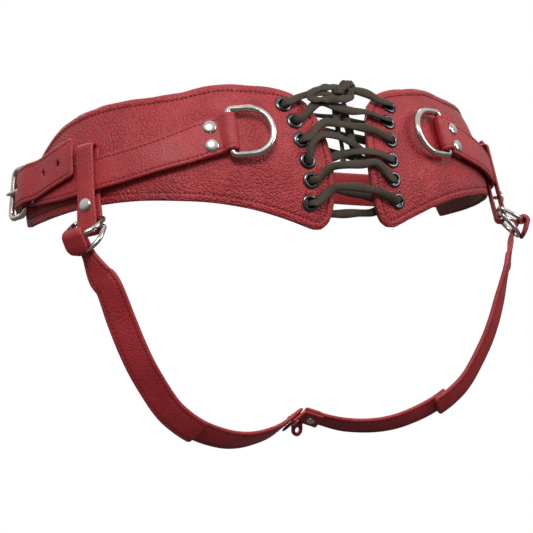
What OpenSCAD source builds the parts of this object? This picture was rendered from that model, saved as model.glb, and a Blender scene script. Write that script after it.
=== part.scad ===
// Laced leather hip harness: two laced back panels, buckled side straps, a front strap and joined leg straps.
// Millimetres, +Z up. The laced back faces -Y, and the origin is the middle of the hip outline.
// Most pieces lie on the hip surface: s is the distance round the hips from the middle of the back,
// z the height on the surface, and out the distance outwards from the panels' outer face.

/* [Hips] */
// Half of the width across the outside of the panels
hip_half_w = 173; // [144:1:208]
// Half of the depth across the outside of the panels
hip_half_d = 135; // [112:1:162]
// Squareness of the hip outline, where 2 is an ellipse
hip_power = 2.35; // [2.1:0.05:2.6]
// Inward curl of the surface above and below its widest height, per mm
hip_curl = 0.0033; // [0.001:0.0001:0.0042]
// Height where the hips are widest
hip_wide_z = -12; // [-20:1:0]
// Drop of the belt line towards the front, per mm
belt_drop = 0.07; // [0:0.01:0.12]

/* [Back panels] */
// Distance from the lacing line to the panel's far end
panel_end_s = 262; // [250:1:275]
// Thickness of the outer leather
leather_t = 2.2; // [1.8:0.1:2.8]
// Thickness of the lining
lining_t = 1.6; // [1:0.1:2]

/* [Lacing] */
// Hole radius of an eyelet
eyelet_hole_r = 3; // [2.6:0.1:3.4]
// Flange radius of an eyelet
eyelet_flange_r = 5.6; // [4.8:0.1:6]
// Diameter of the lace
lace_d = 3.4; // [2.4:0.1:3.8]

/* [Side straps] */
// Width of a side strap where it folds round its D-ring
strap_end_w = 25; // [21:0.5:28]
// Width of a side strap along the hip
strap_w = 22; // [18:0.5:25]
// Thickness of a side strap
strap_t = 2.4; // [2:0.1:3]
// Wire diameter of the D-rings
d_ring_wire = 4.4; // [3.6:0.1:5]
// Straight length of a D-ring's sides
d_ring_side = 12; // [8:0.5:16]
// Cap diameter of the strap rivets
rivet_cap_d = 9; // [7:0.5:10]

/* [Buckles and front strap] */
// Width of the front strap and its punched ends
front_w = 27; // [22:0.5:32]
// Thickness of the front strap
front_t = 2; // [1.6:0.1:2.6]
// Rise of the front strap from the buckles to the middle
front_rise = 44; // [20:1:60]
// Wire diameter of the buckle frames
frame_wire = 4; // [3.4:0.1:4.6]
// Distance between a buckle's two bars
frame_reach = 19; // [17:0.5:24]
// Radius of the punched holes
punch_r = 2; // [1.5:0.1:2.4]

/* [Hanger loops] */
// Distance of the hanger loops from the middle of the back
hanger_s = 175; // [165:1:184]
// Width of a hanger loop
hanger_w = 13.5; // [11:0.5:16]
// Thickness of a hanger loop's leather
hanger_t = 2; // [1.6:0.1:2.4]
// Inside width of an adjuster ring
ring_inside = 20; // [18:0.5:24]
// Wire diameter of the adjuster rings
ring_wire = 3.2; // [2.8:0.1:3.6]

/* [Leg straps] */
// Width of the padded upper part of a leg strap
leg_upper_w = 19; // [16:0.5:20]
// Thickness of the upper part
leg_upper_t = 3; // [2.4:0.1:3.4]
// Width of the lower part
leg_lower_w = 16.5; // [14:0.5:19]
// Thickness of the lower part
leg_lower_t = 2.6; // [2:0.1:3]
// Height of the joint between the legs
crotch_z = -161; // [-190:1:-135]
// Depth of the joint between the legs
crotch_y = -27; // [-40:1:-15]

/* [Hidden] */
$fn = 48;

red = [0.66, 0.13, 0.16];
dark_red = [0.42, 0.1, 0.1];
nickel = [0.78, 0.77, 0.74];
gunmetal = [0.25, 0.26, 0.28];
lace_brown = [0.2, 0.16, 0.12];

// Clearances: between glued or stitched layers, between pieces that lie on each other, and in a running fit.
glue = 0.1;
rest = 0.3;
run = 0.08;

// Layers on the hip, as distances outwards from the panels' outer face.
panel_out = 0;
panel_in = panel_out - leather_t;
lining_out = panel_in - glue;
lining_in = lining_out - lining_t;
fold_in = panel_out + 0.25;
strap_in = fold_in + strap_t + glue;
strap_out = strap_in + strap_t;

// Hip surface.
hip_steps = 240;
function super_pos(t) = [
    hip_half_w * pow(sin(t), 2 / hip_power),
    -hip_half_d * sign(cos(t)) * pow(abs(cos(t)), 2 / hip_power)
];
hip_lengths = [
    for (i = 0, d = 0; i <= hip_steps;
         i = i + 1, d = d + norm(super_pos(180 * min(i, hip_steps) / hip_steps) - super_pos(180 * (i - 1) / hip_steps)))
        [d, 180 * i / hip_steps]
];
half_round = hip_lengths[hip_steps][0];
function unit(v) = v / norm(v);
function wrapped(s) = s > half_round ? s - 2 * half_round : s;
function hip_flat(s) = let (w = wrapped(s), p = super_pos(lookup(abs(w), hip_lengths))) [sign(w) * p.x, p.y];
function hip_normal(s) =
    let (p = hip_flat(s), k = hip_power - 1)
    unit([
        sign(p.x) * pow(abs(p.x) / hip_half_w, k) / hip_half_w,
        sign(p.y) * pow(abs(p.y) / hip_half_d, k) / hip_half_d
    ]);
function lean(z) = atan(2 * hip_curl * (z - hip_wide_z));
function hip_out(s, z) = let (n = hip_normal(s)) [n.x * cos(lean(z)), n.y * cos(lean(z)), sin(lean(z))];
function on_hip(s, z, out = 0) =
    let (p = hip_flat(s), n = hip_normal(s), curl = hip_curl * pow(z - hip_wide_z, 2))
    [p.x - n.x * curl, p.y - n.y * curl, z - belt_drop * (p.y + hip_half_d)] + out * hip_out(s, z);

// Places children on the hip: their X runs away from the middle of the back, Y up, and Z away from the body.
module on_surface(s, z, out = 0) {
    w = hip_out(s, z);
    n = hip_normal(s);
    u = [-n.y, n.x, 0];
    v = cross(w, u);
    p = on_hip(s, z, out);
    multmatrix([[u.x, v.x, w.x, p.x], [u.y, v.y, w.y, p.y], [u.z, v.z, w.z, p.z], [0, 0, 0, 1]])
        children();
}
module left_side() {
    mirror([1, 0, 0]) children();
}

// A smooth curve through points, with u from 0 to 1 along its length.
function curve_at(p, x) =
    let (
        n = len(p) - 1,
        i = min(floor(x), n - 1),
        f = x - i,
        a = p[max(i - 1, 0)],
        b = p[i],
        c = p[i + 1],
        d = p[min(i + 2, n)]
    )
    0.5 * (2 * b + (c - a) * f + (2 * a - 5 * b + 4 * c - d) * f * f + (3 * b - a - 3 * c + d) * f * f * f);
function curve_table(p, fine = 6) =
    let (m = (len(p) - 1) * fine)
    [for (i = 0, d = 0; i <= m;
          i = i + 1, d = d + norm(curve_at(p, min(i, m) / fine) - curve_at(p, (i - 1) / fine)))
        [d, i / fine]];
function along(p, table, u) = curve_at(p, lookup(u * table[len(table) - 1][0], table));
function curve(p, steps) = let (t = curve_table(p)) [for (i = [0:steps]) along(p, t, i / steps)];

// Solid from rings of equal point count, closed at both ends.
module loft(rings) {
    n = len(rings[0]);
    m = len(rings) - 1;
    sides = [
        for (i = [0:m - 1], j = [0:n - 1])
            let (a = i * n + j, b = i * n + (j + 1) % n)
            each [[a, b, b + n], [a, b + n, a + n]]
    ];
    caps = [for (j = [1:n - 2]) each [[0, j + 1, j], [m * n, m * n + j, m * n + j + 1]]];
    polyhedron(points = [for (r = rings) each r], faces = concat(sides, caps), convexity = 8);
}
// A strap lying on the hip from s0 to s1, with a middle height, a width and a distance from the body.
module hip_strap(s0, s1, steps, height, width, out, thick) {
    loft([
        for (i = [0:steps])
            let (s = s0 + (s1 - s0) * i / steps, z = height(s), h = width(s) / 2, o = out(s))
            concat(
                [for (k = [-2:2]) on_hip(s, z + h * k / 2, o + thick)],
                [for (k = [2:-1:-2]) on_hip(s, z + h * k / 2, o)]
            )
    ]);
}
// A strap through free space: lists of middle points, face directions and widths, then thickness and shift.
module free_strap(mid, face, width, thick, shift = 0) {
    n = len(mid) - 1;
    loft([
        for (i = [0:n])
            let (
                dir = unit(mid[min(i + 1, n)] - mid[max(i - 1, 0)]),
                side = unit(cross(dir, face[i])),
                out = cross(side, dir),
                c = mid[i] + out * shift
            )
            [
                c + side * width[i] / 2 - out * thick / 2,
                c + side * width[i] / 2 + out * thick / 2,
                c - side * width[i] / 2 + out * thick / 2,
                c - side * width[i] / 2 - out * thick / 2
            ]
    ]);
}
// A round cord through points, as a tube with flat sides.
module cord(points, d, sides = 8) {
    n = len(points) - 1;
    up0 = unit(cross(points[1] - points[0], [0.3, 1, 0.2]));
    dirs = [for (i = [0:n]) unit(points[min(i + 1, n)] - points[max(i - 1, 0)])];
    ups = [for (i = 0, u = up0; i <= n; i = i + 1, u = unit(u - dirs[min(i, n)] * (u * dirs[min(i, n)]))) u];
    loft([
        for (i = [0:n])
            let (a = unit(ups[i] - dirs[i] * (ups[i] * dirs[i])), b = cross(dirs[i], a))
            [for (j = [0:sides - 1]) points[i] + (a * cos(360 * j / sides) - b * sin(360 * j / sides)) * d / 2]
    ]);
}

// Outline of a back panel, as points [s, z].
top_edge = [
    [24, 34.5], [30, 39.8], [38, 44.4], [50, 47.4], [68, 50], [86, 51.5], [100, 50], [116, 48.6], [135, 49.3],
    [160, 51.3], [185, 51.8], [205, 50.4], [221, 46.5], [236, 39], [panel_end_s - 14, 31], [panel_end_s - 2, 23]
];
bottom_edge = [
    [26, -49.4], [31, -49.4], [38, -46.8], [54, -40.4], [74, -33.4], [98, -27], [122, -22.3], [146, -18],
    [170, -15], [196, -12.5], [225, -10], [panel_end_s - 2, -6]
];
lace_edge = [
    [26, -49.4], [20.6, -45.6], [17, -38], [15, -27], [13.9, -13], [14.3, -2], [15.8, 10], [18.4, 22], [24, 34.5]
];
end_edge = [[panel_end_s - 2, -6], [panel_end_s + 1, 2], [panel_end_s + 1, 15], [panel_end_s - 2, 23]];
panel_u = 36;
panel_v = 8;
panel_top = curve(top_edge, panel_u);
panel_bottom = curve(bottom_edge, panel_u);
panel_lace = curve(lace_edge, panel_v);
panel_end = curve(end_edge, panel_v);
function panel_at(i, j) =
    let (u = i / panel_u, v = j / panel_v)
    (1 - v) * panel_bottom[i] + v * panel_top[i] + (1 - u) * panel_lace[j] + u * panel_end[j]
    - (1 - u) * (1 - v) * panel_bottom[0] - u * (1 - v) * panel_bottom[panel_u]
    - (1 - u) * v * panel_top[0] - u * v * panel_top[panel_u];
module panel_sheet(out0, out1) {
    rows = panel_v + 1;
    half = (panel_u + 1) * rows;
    points = [
        for (o = [out0, out1], i = [0:panel_u], j = [0:panel_v])
            let (p = panel_at(i, j)) on_hip(p.x, p.y, o)
    ];
    inner = [
        for (i = [0:panel_u - 1], j = [0:panel_v - 1])
            let (a = i * rows + j) each [[a, a + rows, a + rows + 1], [a, a + rows + 1, a + 1]]
    ];
    rim = concat(
        [for (i = [0:panel_u - 1]) [i * rows, (i + 1) * rows]],
        [for (j = [0:panel_v - 1]) [panel_u * rows + j, panel_u * rows + j + 1]],
        [for (i = [panel_u:-1:1]) [i * rows + panel_v, (i - 1) * rows + panel_v]],
        [for (j = [panel_v:-1:1]) [j, j - 1]]
    );
    faces = concat(
        inner,
        [for (f = inner) [f[2] + half, f[1] + half, f[0] + half]],
        [for (e = rim) each [[e[0], e[0] + half, e[1] + half], [e[0], e[1] + half, e[1]]]]
    );
    polyhedron(points = points, faces = faces, convexity = 8);
}

// Eyelets.
eyelet_places = [[41.6, 33.8], [36.2, 21.8], [34.3, 8.8], [32.2, -5.3], [31.6, -18.3], [33.6, -32.6]];
eyelet_barrel_r = eyelet_hole_r + 0.4;
eyelet_seat = 0.35;
washer_t = 0.5;
module at_eyelets(out = 0) {
    for (p = eyelet_places) on_surface(p.x, p.y, out) children();
}
module eyelet_cuts() {
    at_eyelets(lining_in - 1) cylinder(r = eyelet_barrel_r + glue / 2, h = panel_out - lining_in + 2);
}
module eyelet_one() {
    low = lining_in - eyelet_seat - washer_t - 0.1;
    high = panel_out + eyelet_seat;
    rotate_extrude() polygon([
        [eyelet_hole_r, low - 0.55], [eyelet_hole_r + 1.1, low - 0.55], [eyelet_hole_r + 1.1, low],
        [eyelet_barrel_r, low], [eyelet_barrel_r, high], [eyelet_flange_r, high],
        [eyelet_flange_r - 0.3, high + 0.6], [eyelet_hole_r + 0.9, high + 1], [eyelet_hole_r, high + 0.7]
    ]);
}
module washer_one() {
    difference() {
        cylinder(r = eyelet_flange_r, h = washer_t);
        translate([0, 0, -1]) cylinder(r = eyelet_barrel_r + glue / 2, h = washer_t + 2);
    }
}

// Side strap with its D-ring and its buckle.
// The strap bows out by this much where it passes over a hanger loop's back leg.
hanger_lift = 1;
d_ring_s = 82;
d_ring_half = strap_end_w / 2 + 1 + d_ring_wire / 2;
d_ring_corner = d_ring_wire / 2 + 0.45;
d_ring_fold_r = d_ring_wire / 2 + run;
d_ring_out = fold_in + strap_t + d_ring_fold_r;
strap_rivet_s = d_ring_s + d_ring_fold_r + 10;
strap_rivet_gap = 12;
strap_fold_end = strap_rivet_s + 9;
bar_s = 246;
bar_fold_r = frame_wire / 2 + run;
bar_out = fold_in + strap_t + bar_fold_r;
buckle_rivet_s = bar_s - 14;
buckle_fold_end = buckle_rivet_s - 8;
strap_line = [
    [60, 14.6], [d_ring_s, 14.6], [96, 12.8], [115, 9], [137, 5.8], [160, 4], [180, 3.8], [200, 5.4], [222, 9],
    [244, 14.6], [bar_s + 24, 18.6]
];
function strap_z(s) = lookup(s, [for (p = curve(strap_line, 60)) p]);
function ease(x) = let (f = min(max(x, 0), 1)) f * f * (3 - 2 * f);
strap_width_at = function (s) strap_end_w + (strap_w - strap_end_w) * ease((s - 100) / 34);
strap_out_at = function (s)
    let (
        ring_rise = (d_ring_out + d_ring_fold_r - strap_in) * (1 - ease((s - d_ring_s) / 7.5)),
        bar_rise = (bar_out + bar_fold_r - strap_in) * ease((s - bar_s + 9) / 9),
        hanger_rise = hanger_lift * (1 - ease((abs(s - hanger_s) - hanger_w / 2 - 3) / 14))
    )
    strap_in + ring_rise + bar_rise + hanger_rise;
strap_line_at = function (s) strap_z(s);
fold_out_at = function (s) fold_in;

module at_ring() {
    on_surface(d_ring_s, strap_z(d_ring_s), d_ring_out) children();
}
module at_bar() {
    on_surface(bar_s, strap_z(bar_s), bar_out) children();
}
// A rod along Y, used for the folds and for the holes through them.
module rod_y(r, length) {
    rotate([90, 0, 0]) cylinder(r = r, h = length, center = true);
}
module strap_rivet_places(out = 0) {
    for (side = [-1, 1])
        on_surface(strap_rivet_s, strap_z(strap_rivet_s) + side * strap_rivet_gap / 2, out) children();
}
module buckle_rivet_places(out = 0) {
    for (side = [-1, 1])
        on_surface(buckle_rivet_s, strap_z(buckle_rivet_s) + side * strap_rivet_gap / 2, out) children();
}
post_r = 1.5;
tongue_slot_w = 5;
module one_side_strap() {
    difference() {
        union() {
            hip_strap(d_ring_s, bar_s, 60, strap_line_at, strap_width_at, strap_out_at, strap_t);
            hip_strap(d_ring_s, strap_fold_end, 4, strap_line_at, strap_width_at, fold_out_at, strap_t);
            hip_strap(buckle_fold_end, bar_s, 4, strap_line_at, strap_width_at, fold_out_at, strap_t);
            at_ring() rod_y(d_ring_fold_r + strap_t, strap_end_w);
            at_bar() rod_y(bar_fold_r + strap_t, strap_w);
        }
        at_ring() rod_y(d_ring_fold_r, strap_end_w + 20);
        at_bar() rod_y(bar_fold_r, strap_w + 20);
        at_bar() translate([-5, -tongue_slot_w / 2, -10]) cube([20, tongue_slot_w, 30]);
        strap_rivet_places(lining_in - 2) cylinder(r = post_r + glue / 2, h = 20);
        buckle_rivet_places(lining_in - 2) cylinder(r = post_r + glue / 2, h = 20);
    }
}
// A domed rivet whose post runs from low to high, with a flat burr at the low end.
module rivet(low, high, cap_d, burr_r, cap_h = 1.6) {
    dome_r = (pow(cap_d / 2, 2) + pow(cap_h, 2)) / (2 * cap_h);
    translate([0, 0, low]) cylinder(r = post_r, h = high - low + 0.2);
    translate([0, 0, low - 0.7]) cylinder(r = burr_r, h = 0.7);
    rotate_extrude() intersection() {
        translate([0, high + cap_h - dome_r]) circle(r = dome_r, $fn = 96);
        translate([0, high]) square([cap_d / 2, cap_h]);
    }
}
module panel_rivet_cuts() {
    strap_rivet_places(lining_in - 2) cylinder(r = post_r + glue / 2, h = 20);
    buckle_rivet_places(lining_in - 2) cylinder(r = post_r + glue / 2, h = 20);
}
module one_strap_rivets() {
    strap_rivet_places() rivet(lining_in - rest, strap_out + glue, rivet_cap_d, 2.6);
}
module one_buckle_rivets() {
    buckle_rivet_places() rivet(lining_in - rest, strap_out + glue, rivet_cap_d - 2, 2.6, 1.2);
}
module one_panel() {
    difference() {
        panel_sheet(panel_in, panel_out);
        eyelet_cuts();
        panel_rivet_cuts();
    }
}
module one_lining() {
    difference() {
        panel_sheet(lining_in, lining_out);
        eyelet_cuts();
        panel_rivet_cuts();
    }
}
module one_eyelets() {
    at_eyelets() eyelet_one();
}
module one_eyelet_washers() {
    at_eyelets(lining_in - eyelet_seat - washer_t) washer_one();
}

// Flat D shape of round wire: its bar lies along X at Y = 0, and its arc is at Y = side + half.
module d_wire(half, side, wire, corner) {
    rotate([0, 90, 0]) cylinder(d = wire, h = 2 * (half - corner), center = true);
    for (m = [0, 1]) mirror([m, 0, 0]) {
        translate([half - corner, corner, 0]) rotate([0, 0, -90])
            rotate_extrude(angle = 90) translate([corner, 0]) circle(d = wire);
        translate([half, corner, 0]) rotate([-90, 0, 0]) cylinder(d = wire, h = side - corner);
    }
    translate([0, side, 0]) rotate_extrude(angle = 180) translate([half, 0]) circle(d = wire);
}
module one_d_ring() {
    at_ring() rotate([0, 0, 90]) d_wire(d_ring_half, d_ring_side, d_ring_wire, d_ring_corner);
}

// Buckle: a rounded square frame that hinges on the fold, and a tongue that hinges on the same bar.
frame_tilt = 11;
frame_half = front_w / 2 + 1.5 + frame_wire / 2;
frame_corner = 5;
tongue_wire = 2.6;
module one_buckle_frame() {
    at_bar() rotate([0, -frame_tilt, 0]) for (m = [0, 1]) mirror([0, m, 0]) {
        rotate([-90, 0, 0]) cylinder(d = frame_wire, h = frame_half - frame_corner);
        translate([frame_corner, frame_half - frame_corner, 0]) rotate([0, 0, 90])
            rotate_extrude(angle = 90) translate([frame_corner, 0]) circle(d = frame_wire);
        translate([frame_corner, frame_half, 0]) rotate([0, 90, 0])
            cylinder(d = frame_wire, h = frame_reach - 2 * frame_corner);
        translate([frame_reach - frame_corner, frame_half - frame_corner, 0])
            rotate_extrude(angle = 90) translate([frame_corner, 0]) circle(d = frame_wire);
        translate([frame_reach, 0, 0]) rotate([-90, 0, 0])
            cylinder(d = frame_wire, h = frame_half - frame_corner);
    }
}
tongue_turn = bar_fold_r + tongue_wire / 2;
tongue_rise = frame_reach * sin(frame_tilt) + frame_wire / 2 + rest + tongue_wire / 2;
tongue_run = frame_reach * cos(frame_tilt) + 1.5;
// The tongue leaves its eye along the line that touches the eye and clears the far bar.
tongue_angle = atan2(tongue_rise, tongue_run) - asin(tongue_turn / norm([tongue_rise, tongue_run]));
tongue_length = sqrt(pow(tongue_rise, 2) + pow(tongue_run, 2) - pow(tongue_turn, 2));
module one_buckle_tongue() {
    at_bar() {
        difference() {
            rod_y(bar_fold_r + tongue_wire, tongue_wire + 0.2);
            rod_y(bar_fold_r, tongue_wire + 2);
        }
        rotate([0, -tongue_angle, 0]) translate([0, 0, tongue_turn]) {
            rotate([0, 90, 0]) cylinder(d = tongue_wire - 0.1, h = tongue_length);
            translate([tongue_length, 0, 0]) sphere(d = tongue_wire - 0.1);
        }
    }
}

// Front strap: one strap round the front, whose punched ends pass through the buckles and lie on the side straps.
tip_s = hanger_s + hanger_w / 2 + 1.6;
front_z = strap_z(bar_s);
billet_gap = 0.5;
front_clear = -2.6;
over_bar = bar_out + bar_fold_r + strap_t + 0.6;
under_frame = bar_out + frame_reach * sin(frame_tilt) - frame_wire / 2 - rest - front_t - 0.65;
function front_s(s) = s > half_round ? 2 * half_round - s : s;
front_line_at = function (s)
    let (a = front_s(s))
    front_z + belt_drop * min(max(a - bar_s, 0), 24) + front_rise * sin(90 * max(a - bar_s - 24, 0) / (half_round - bar_s - 24))
    + 2.5 * (1 - ease((a - tip_s) / 40));
front_width_at = function (s) front_w;
front_out_line = [
    [tip_s, strap_out + hanger_lift + billet_gap], [tip_s + 14, strap_out + hanger_lift * 0.7 + billet_gap],
    [bar_s - 24, strap_out + billet_gap + 0.2], [bar_s - 12, over_bar - 0.6], [bar_s - 2, over_bar],
    [bar_s + 4, over_bar - 0.8], [bar_s + frame_reach, under_frame],
    [bar_s + frame_reach + 16, panel_out + 0.8], [bar_s + frame_reach + 34, front_clear], [half_round, front_clear]
];
front_outs = curve([for (p = front_out_line) p], 80);
front_out_at = function (s) lookup(front_s(s), front_outs);
punch_places = [tip_s + 14, tip_s + 30, bar_s + 38, bar_s + 54];
module front_strap_cuts() {
    for (s = punch_places)
        on_surface(s, front_line_at(s), -6) cylinder(r = punch_r, h = 30);
    at_bar() translate([0, 0, -12]) {
        cylinder(r = punch_r, h = 30);
        translate([11, 0, 0]) cylinder(r = punch_r, h = 30);
        translate([0, -punch_r, 0]) cube([11, 2 * punch_r, 30]);
    }
}
module front_strap() {
    color(red) difference() {
        hip_strap(tip_s, 2 * half_round - tip_s, 124, front_line_at, front_width_at, front_out_at, front_t);
        front_strap_cuts();
        left_side() front_strap_cuts();
    }
}

// Hanger loop: a closed leather loop round the side strap. The two adjuster rings lie in its lower end.
hanger_z = 4;
slot_w = max(ring_wire + 0.5, strap_t + hanger_lift + 0.75);
slot_mid = panel_out + rest + hanger_t + slot_w / 2;
slot_top = strap_w / 2 + 6;
ring_1_angle = 50;
ring_2_angle = 30;
bar_1_y = -29.5;
bar_2_y = bar_1_y - ring_wire / sin(ring_1_angle) - 0.5;
bar_play = 1.5;
slot_low = bar_2_y - ring_wire / 2 - bar_play + slot_w / 2;
hanger_rivet_y = bar_1_y + 9.5;
module at_hanger() {
    on_surface(hanger_s, hanger_z, slot_mid) children();
}
module hanger_outline(r) {
    translate([-r, slot_low]) square([2 * r, slot_top - slot_low]);
    translate([0, slot_top]) circle(r = r);
    translate([0, slot_low]) circle(r = r);
}
module one_hanger() {
    at_hanger() difference() {
        rotate([0, -90, 0]) linear_extrude(height = hanger_w, center = true) difference() {
            hanger_outline(slot_w / 2 + hanger_t);
            hanger_outline(slot_w / 2);
        }
        translate([0, hanger_rivet_y, -8]) cylinder(r = post_r + glue / 2, h = 16);
    }
}
module one_hanger_rivet() {
    at_hanger() translate([0, hanger_rivet_y, 0])
        rivet(0.8 - slot_w / 2 - hanger_t, slot_w / 2 + hanger_t + glue, rivet_cap_d, post_r);
}

// Adjuster rings: both bars lie in the hanger loop, and the leg strap folds round the arc of the upper ring.
ring_half = ring_inside / 2 + ring_wire / 2;
ring_side = 8;
ring_corner = ring_wire / 2 + 1;
module at_ring_1() {
    at_hanger() translate([0, bar_1_y, 0]) rotate([180 - ring_1_angle, 0, 0]) children();
}
module at_ring_2() {
    at_hanger() translate([0, bar_2_y, 0]) rotate([180 - ring_2_angle, 0, 0]) children();
}
module one_upper_ring() {
    at_ring_1() d_wire(ring_half, ring_side, ring_wire, ring_corner);
}
module one_lower_ring() {
    at_ring_2() d_wire(ring_half, ring_side, ring_wire, ring_corner);
}

// Leg straps. Every list runs from the adjuster rings down to the joint between the legs.
sleeve_hole_r = ring_wire / 2 + 0.3;
sleeve_r = sleeve_hole_r + 2.4;
ring_out_dir = hip_out(hanger_s, hanger_z);
ring_along = [-hip_normal(hanger_s).y, hip_normal(hanger_s).x, 0];
ring_up = cross(ring_out_dir, ring_along);
ring_1_bar = on_hip(hanger_s, hanger_z, slot_mid) + bar_1_y * ring_up;
ring_2_bar = on_hip(hanger_s, hanger_z, slot_mid) + bar_2_y * ring_up;
ring_1_arc = ring_1_bar + (ring_side + ring_half) * (sin(ring_1_angle) * ring_out_dir - cos(ring_1_angle) * ring_up);
ring_2_arc = ring_2_bar + (ring_side + ring_half) * (sin(ring_2_angle) * ring_out_dir - cos(ring_2_angle) * ring_up);
gather_w = 9;
// A point near the rings: x along the belt, y up, w away from the body, from the middle of the hanger loop.
function near_ring(x, y, w) =
    on_hip(hanger_s, hanger_z, slot_mid) + x * ring_along + (bar_1_y + y) * ring_up + w * ring_out_dir;
upper_line = [
    near_ring(0, -11, 12.4), near_ring(-0.5, -21, 4.5), near_ring(-2.4, -28, 1.8), near_ring(-5, -36, -1.5),
    [155, -82, -74], [148, -79, -94], [141, -76, -112], [133, -72.5, -128],
    [119, -67, -149], [107, -63, -160], [94, -58.5, -168]
];
upper_face = [
    0.8 * ring_out_dir - 0.6 * ring_up, 0.8 * ring_out_dir - 0.6 * ring_up, [0.86, -0.5, -0.2],
    [0.82, -0.56, 0], [0.78, -0.62, 0], [0.64, -0.77, -0.05], [0.58, -0.8, -0.1],
    [0.55, -0.81, -0.2], [0.48, -0.8, -0.35], [0.4, -0.79, -0.46], [0.32, -0.77, -0.54]
];
lower_line = [
    [103, -59.2, -160.2], [93, -55.8, -166], [80, -51.5, -171], [66, -47, -174.5], [52, -42.5, -175.5],
    [38, -38, -174.2], [26, -34.6, -171.5]
];
lower_face = [
    [0.38, -0.78, -0.48], [0.32, -0.77, -0.54], [0.22, -0.73, -0.65], [0.14, -0.66, -0.74], [0.07, -0.57, -0.82],
    [0.02, -0.49, -0.87], [0, -0.43, -0.9]
];
// The last stretch of a lower strap, as x distances from the middle.
joint_x = [14.5, 9.5, 5, 2];
joint_face = [0, -0.36, -0.93];
function joint_at(x) =
    let (f = sqrt(x * x + 9) - 3) [x, crotch_y - 0.3 * f, crotch_z - 0.5 * f];
function spread(p, fine) = [for (i = [0:(len(p) - 1) * fine]) curve_at(p, i / fine)];
upper_mid = spread(upper_line, 3);
upper_faces = spread(upper_face, 3);
upper_widths = [for (i = [0:len(upper_mid) - 1]) gather_w + (leg_upper_w - gather_w) * ease((i - 2) / 9)];
lower_points = concat(lower_line, [for (x = joint_x) joint_at(x)]);
lower_faces = concat(lower_face, [for (x = joint_x) joint_face]);
lower_mid = spread(lower_points, 2);
module one_leg_upper() {
    difference() {
        union() {
            free_strap(upper_mid, upper_faces, upper_widths, leg_upper_t);
            at_ring_1() translate([0, ring_side, 0]) rotate([0, 0, 90 - sleeve_turn])
                rotate_extrude(angle = 2 * sleeve_turn) translate([ring_half, 0]) circle(r = sleeve_r);
        }
        at_ring_1() translate([0, ring_side, 0]) rotate_extrude() translate([ring_half, 0]) circle(r = sleeve_hole_r);
    }
}
sleeve_turn = asin(gather_w / 2 / ring_half);
module one_leg_lower() {
    difference() {
        free_strap(lower_mid, spread(lower_faces, 2), [for (p = lower_mid) leg_lower_w], leg_lower_t);
        joint_rivet_places() cylinder(r = post_r + glue / 2, h = 20, center = true);
    }
}

// Joint between the legs: a patch under the two strap ends, with a punched tab at its front edge.
patch_t = 2;
patch_w = leg_lower_w + 1;
patch_x = [-14, -9.5, -5, -2, 0, 2, 5, 9.5, 14];
patch_shift = leg_lower_t / 2 + patch_t / 2 + 0.55;
tab_w = 9;
tab_length = 6;
tab_turn = -76;
tab_start = joint_at(0) + [0, 5.6, -5.6];
joint_rivet_x = 8;
module joint_rivet_places() {
    c = joint_at(joint_rivet_x);
    dir = unit(joint_at(joint_rivet_x - 1) - joint_at(joint_rivet_x + 1));
    side = unit(cross(dir, joint_face));
    out = cross(side, dir);
    multmatrix([
        [dir.x, side.x, out.x, c.x], [dir.y, side.y, out.y, c.y], [dir.z, side.z, out.z, c.z], [0, 0, 0, 1]
    ]) children();
}
module crotch_patch() {
    color(red) difference() {
        union() {
            free_strap([for (x = patch_x) joint_at(abs(x)) + [x - abs(x), 0, 0]], [for (x = patch_x) joint_face],
                [for (x = patch_x) patch_w], patch_t, patch_shift);
            translate(tab_start) rotate([tab_turn, 0, 0]) linear_extrude(height = patch_t, center = true) {
                translate([-tab_w / 2, 0]) square([tab_w, tab_length]);
                translate([0, tab_length]) circle(d = tab_w);
            }
        }
        translate(tab_start) rotate([tab_turn, 0, 0]) translate([0, tab_length, 0])
            cylinder(r = punch_r, h = 12, center = true);
        joint_rivet_places() cylinder(r = post_r + glue / 2, h = 20, center = true);
        left_side() joint_rivet_places() cylinder(r = post_r + glue / 2, h = 20, center = true);
    }
}
module crotch_rivet() {
    joint_rivet_places() rivet(-leg_lower_t / 2 - glue, patch_shift + patch_t / 2 + glue, rivet_cap_d - 2, 2.6, 1.2);
}
module crotch_rivets() {
    color(nickel) crotch_rivet();
    color(nickel) left_side() crotch_rivet();
}

// Lace. Its runs lie over the eyelets in front and behind the lining at the back, as [s, z, out].
front_run = panel_out + 1.6 + lace_d / 2;
back_run = lining_in - 1.9 - lace_d / 2;
return_run = back_run - lace_d - 1.6;
knot_z = 40;
knot_r = 5.5;
function eye(i, side) = [side * eyelet_places[i].x, eyelet_places[i].y];
function out_of(e, side) = [
    [e.x, e.y, back_run + 1.9], [e.x, e.y, front_run - 1.8], [e.x - side * 2.4, e.y, front_run]
];
function into(e, side) = [
    [e.x - side * 2.4, e.y, front_run], [e.x, e.y, front_run - 1.8], [e.x, e.y, back_run + 1.9]
];
// One turn: in front from the right eyelet to the left, then behind to the next right eyelet.
function turn(i) =
    let (r = eye(i, 1), l = eye(i, -1))
    concat(
        [[r.x - 2.4, r.y, back_run]],
        out_of(r, 1),
        [[12, r.y + 1, front_run], [-12, l.y + 1, front_run]],
        into(l, -1),
        [[l.x + 2.4, l.y, back_run]]
    );
lace_path = concat(
    [[-7, knot_z - 1, front_run], [-24, 37, front_run]],
    into(eye(0, -1), -1),
    [[2.4 - eyelet_places[0].x, eyelet_places[0].y, back_run]],
    turn(1), turn(2), turn(3), turn(4), turn(5),
    [
        [-22, -37, back_run - 1], [-8, -38, return_run], [0, -33, return_run], [0, -15, return_run],
        [0, 2, return_run], [1, 18, return_run], [10, 28, return_run + 1]
    ],
    [[eyelet_places[0].x - 2.4, eyelet_places[0].y, back_run]],
    out_of(eye(0, 1), 1),
    [[24, 37, front_run], [7, knot_z - 1, front_run]]
);
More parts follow.
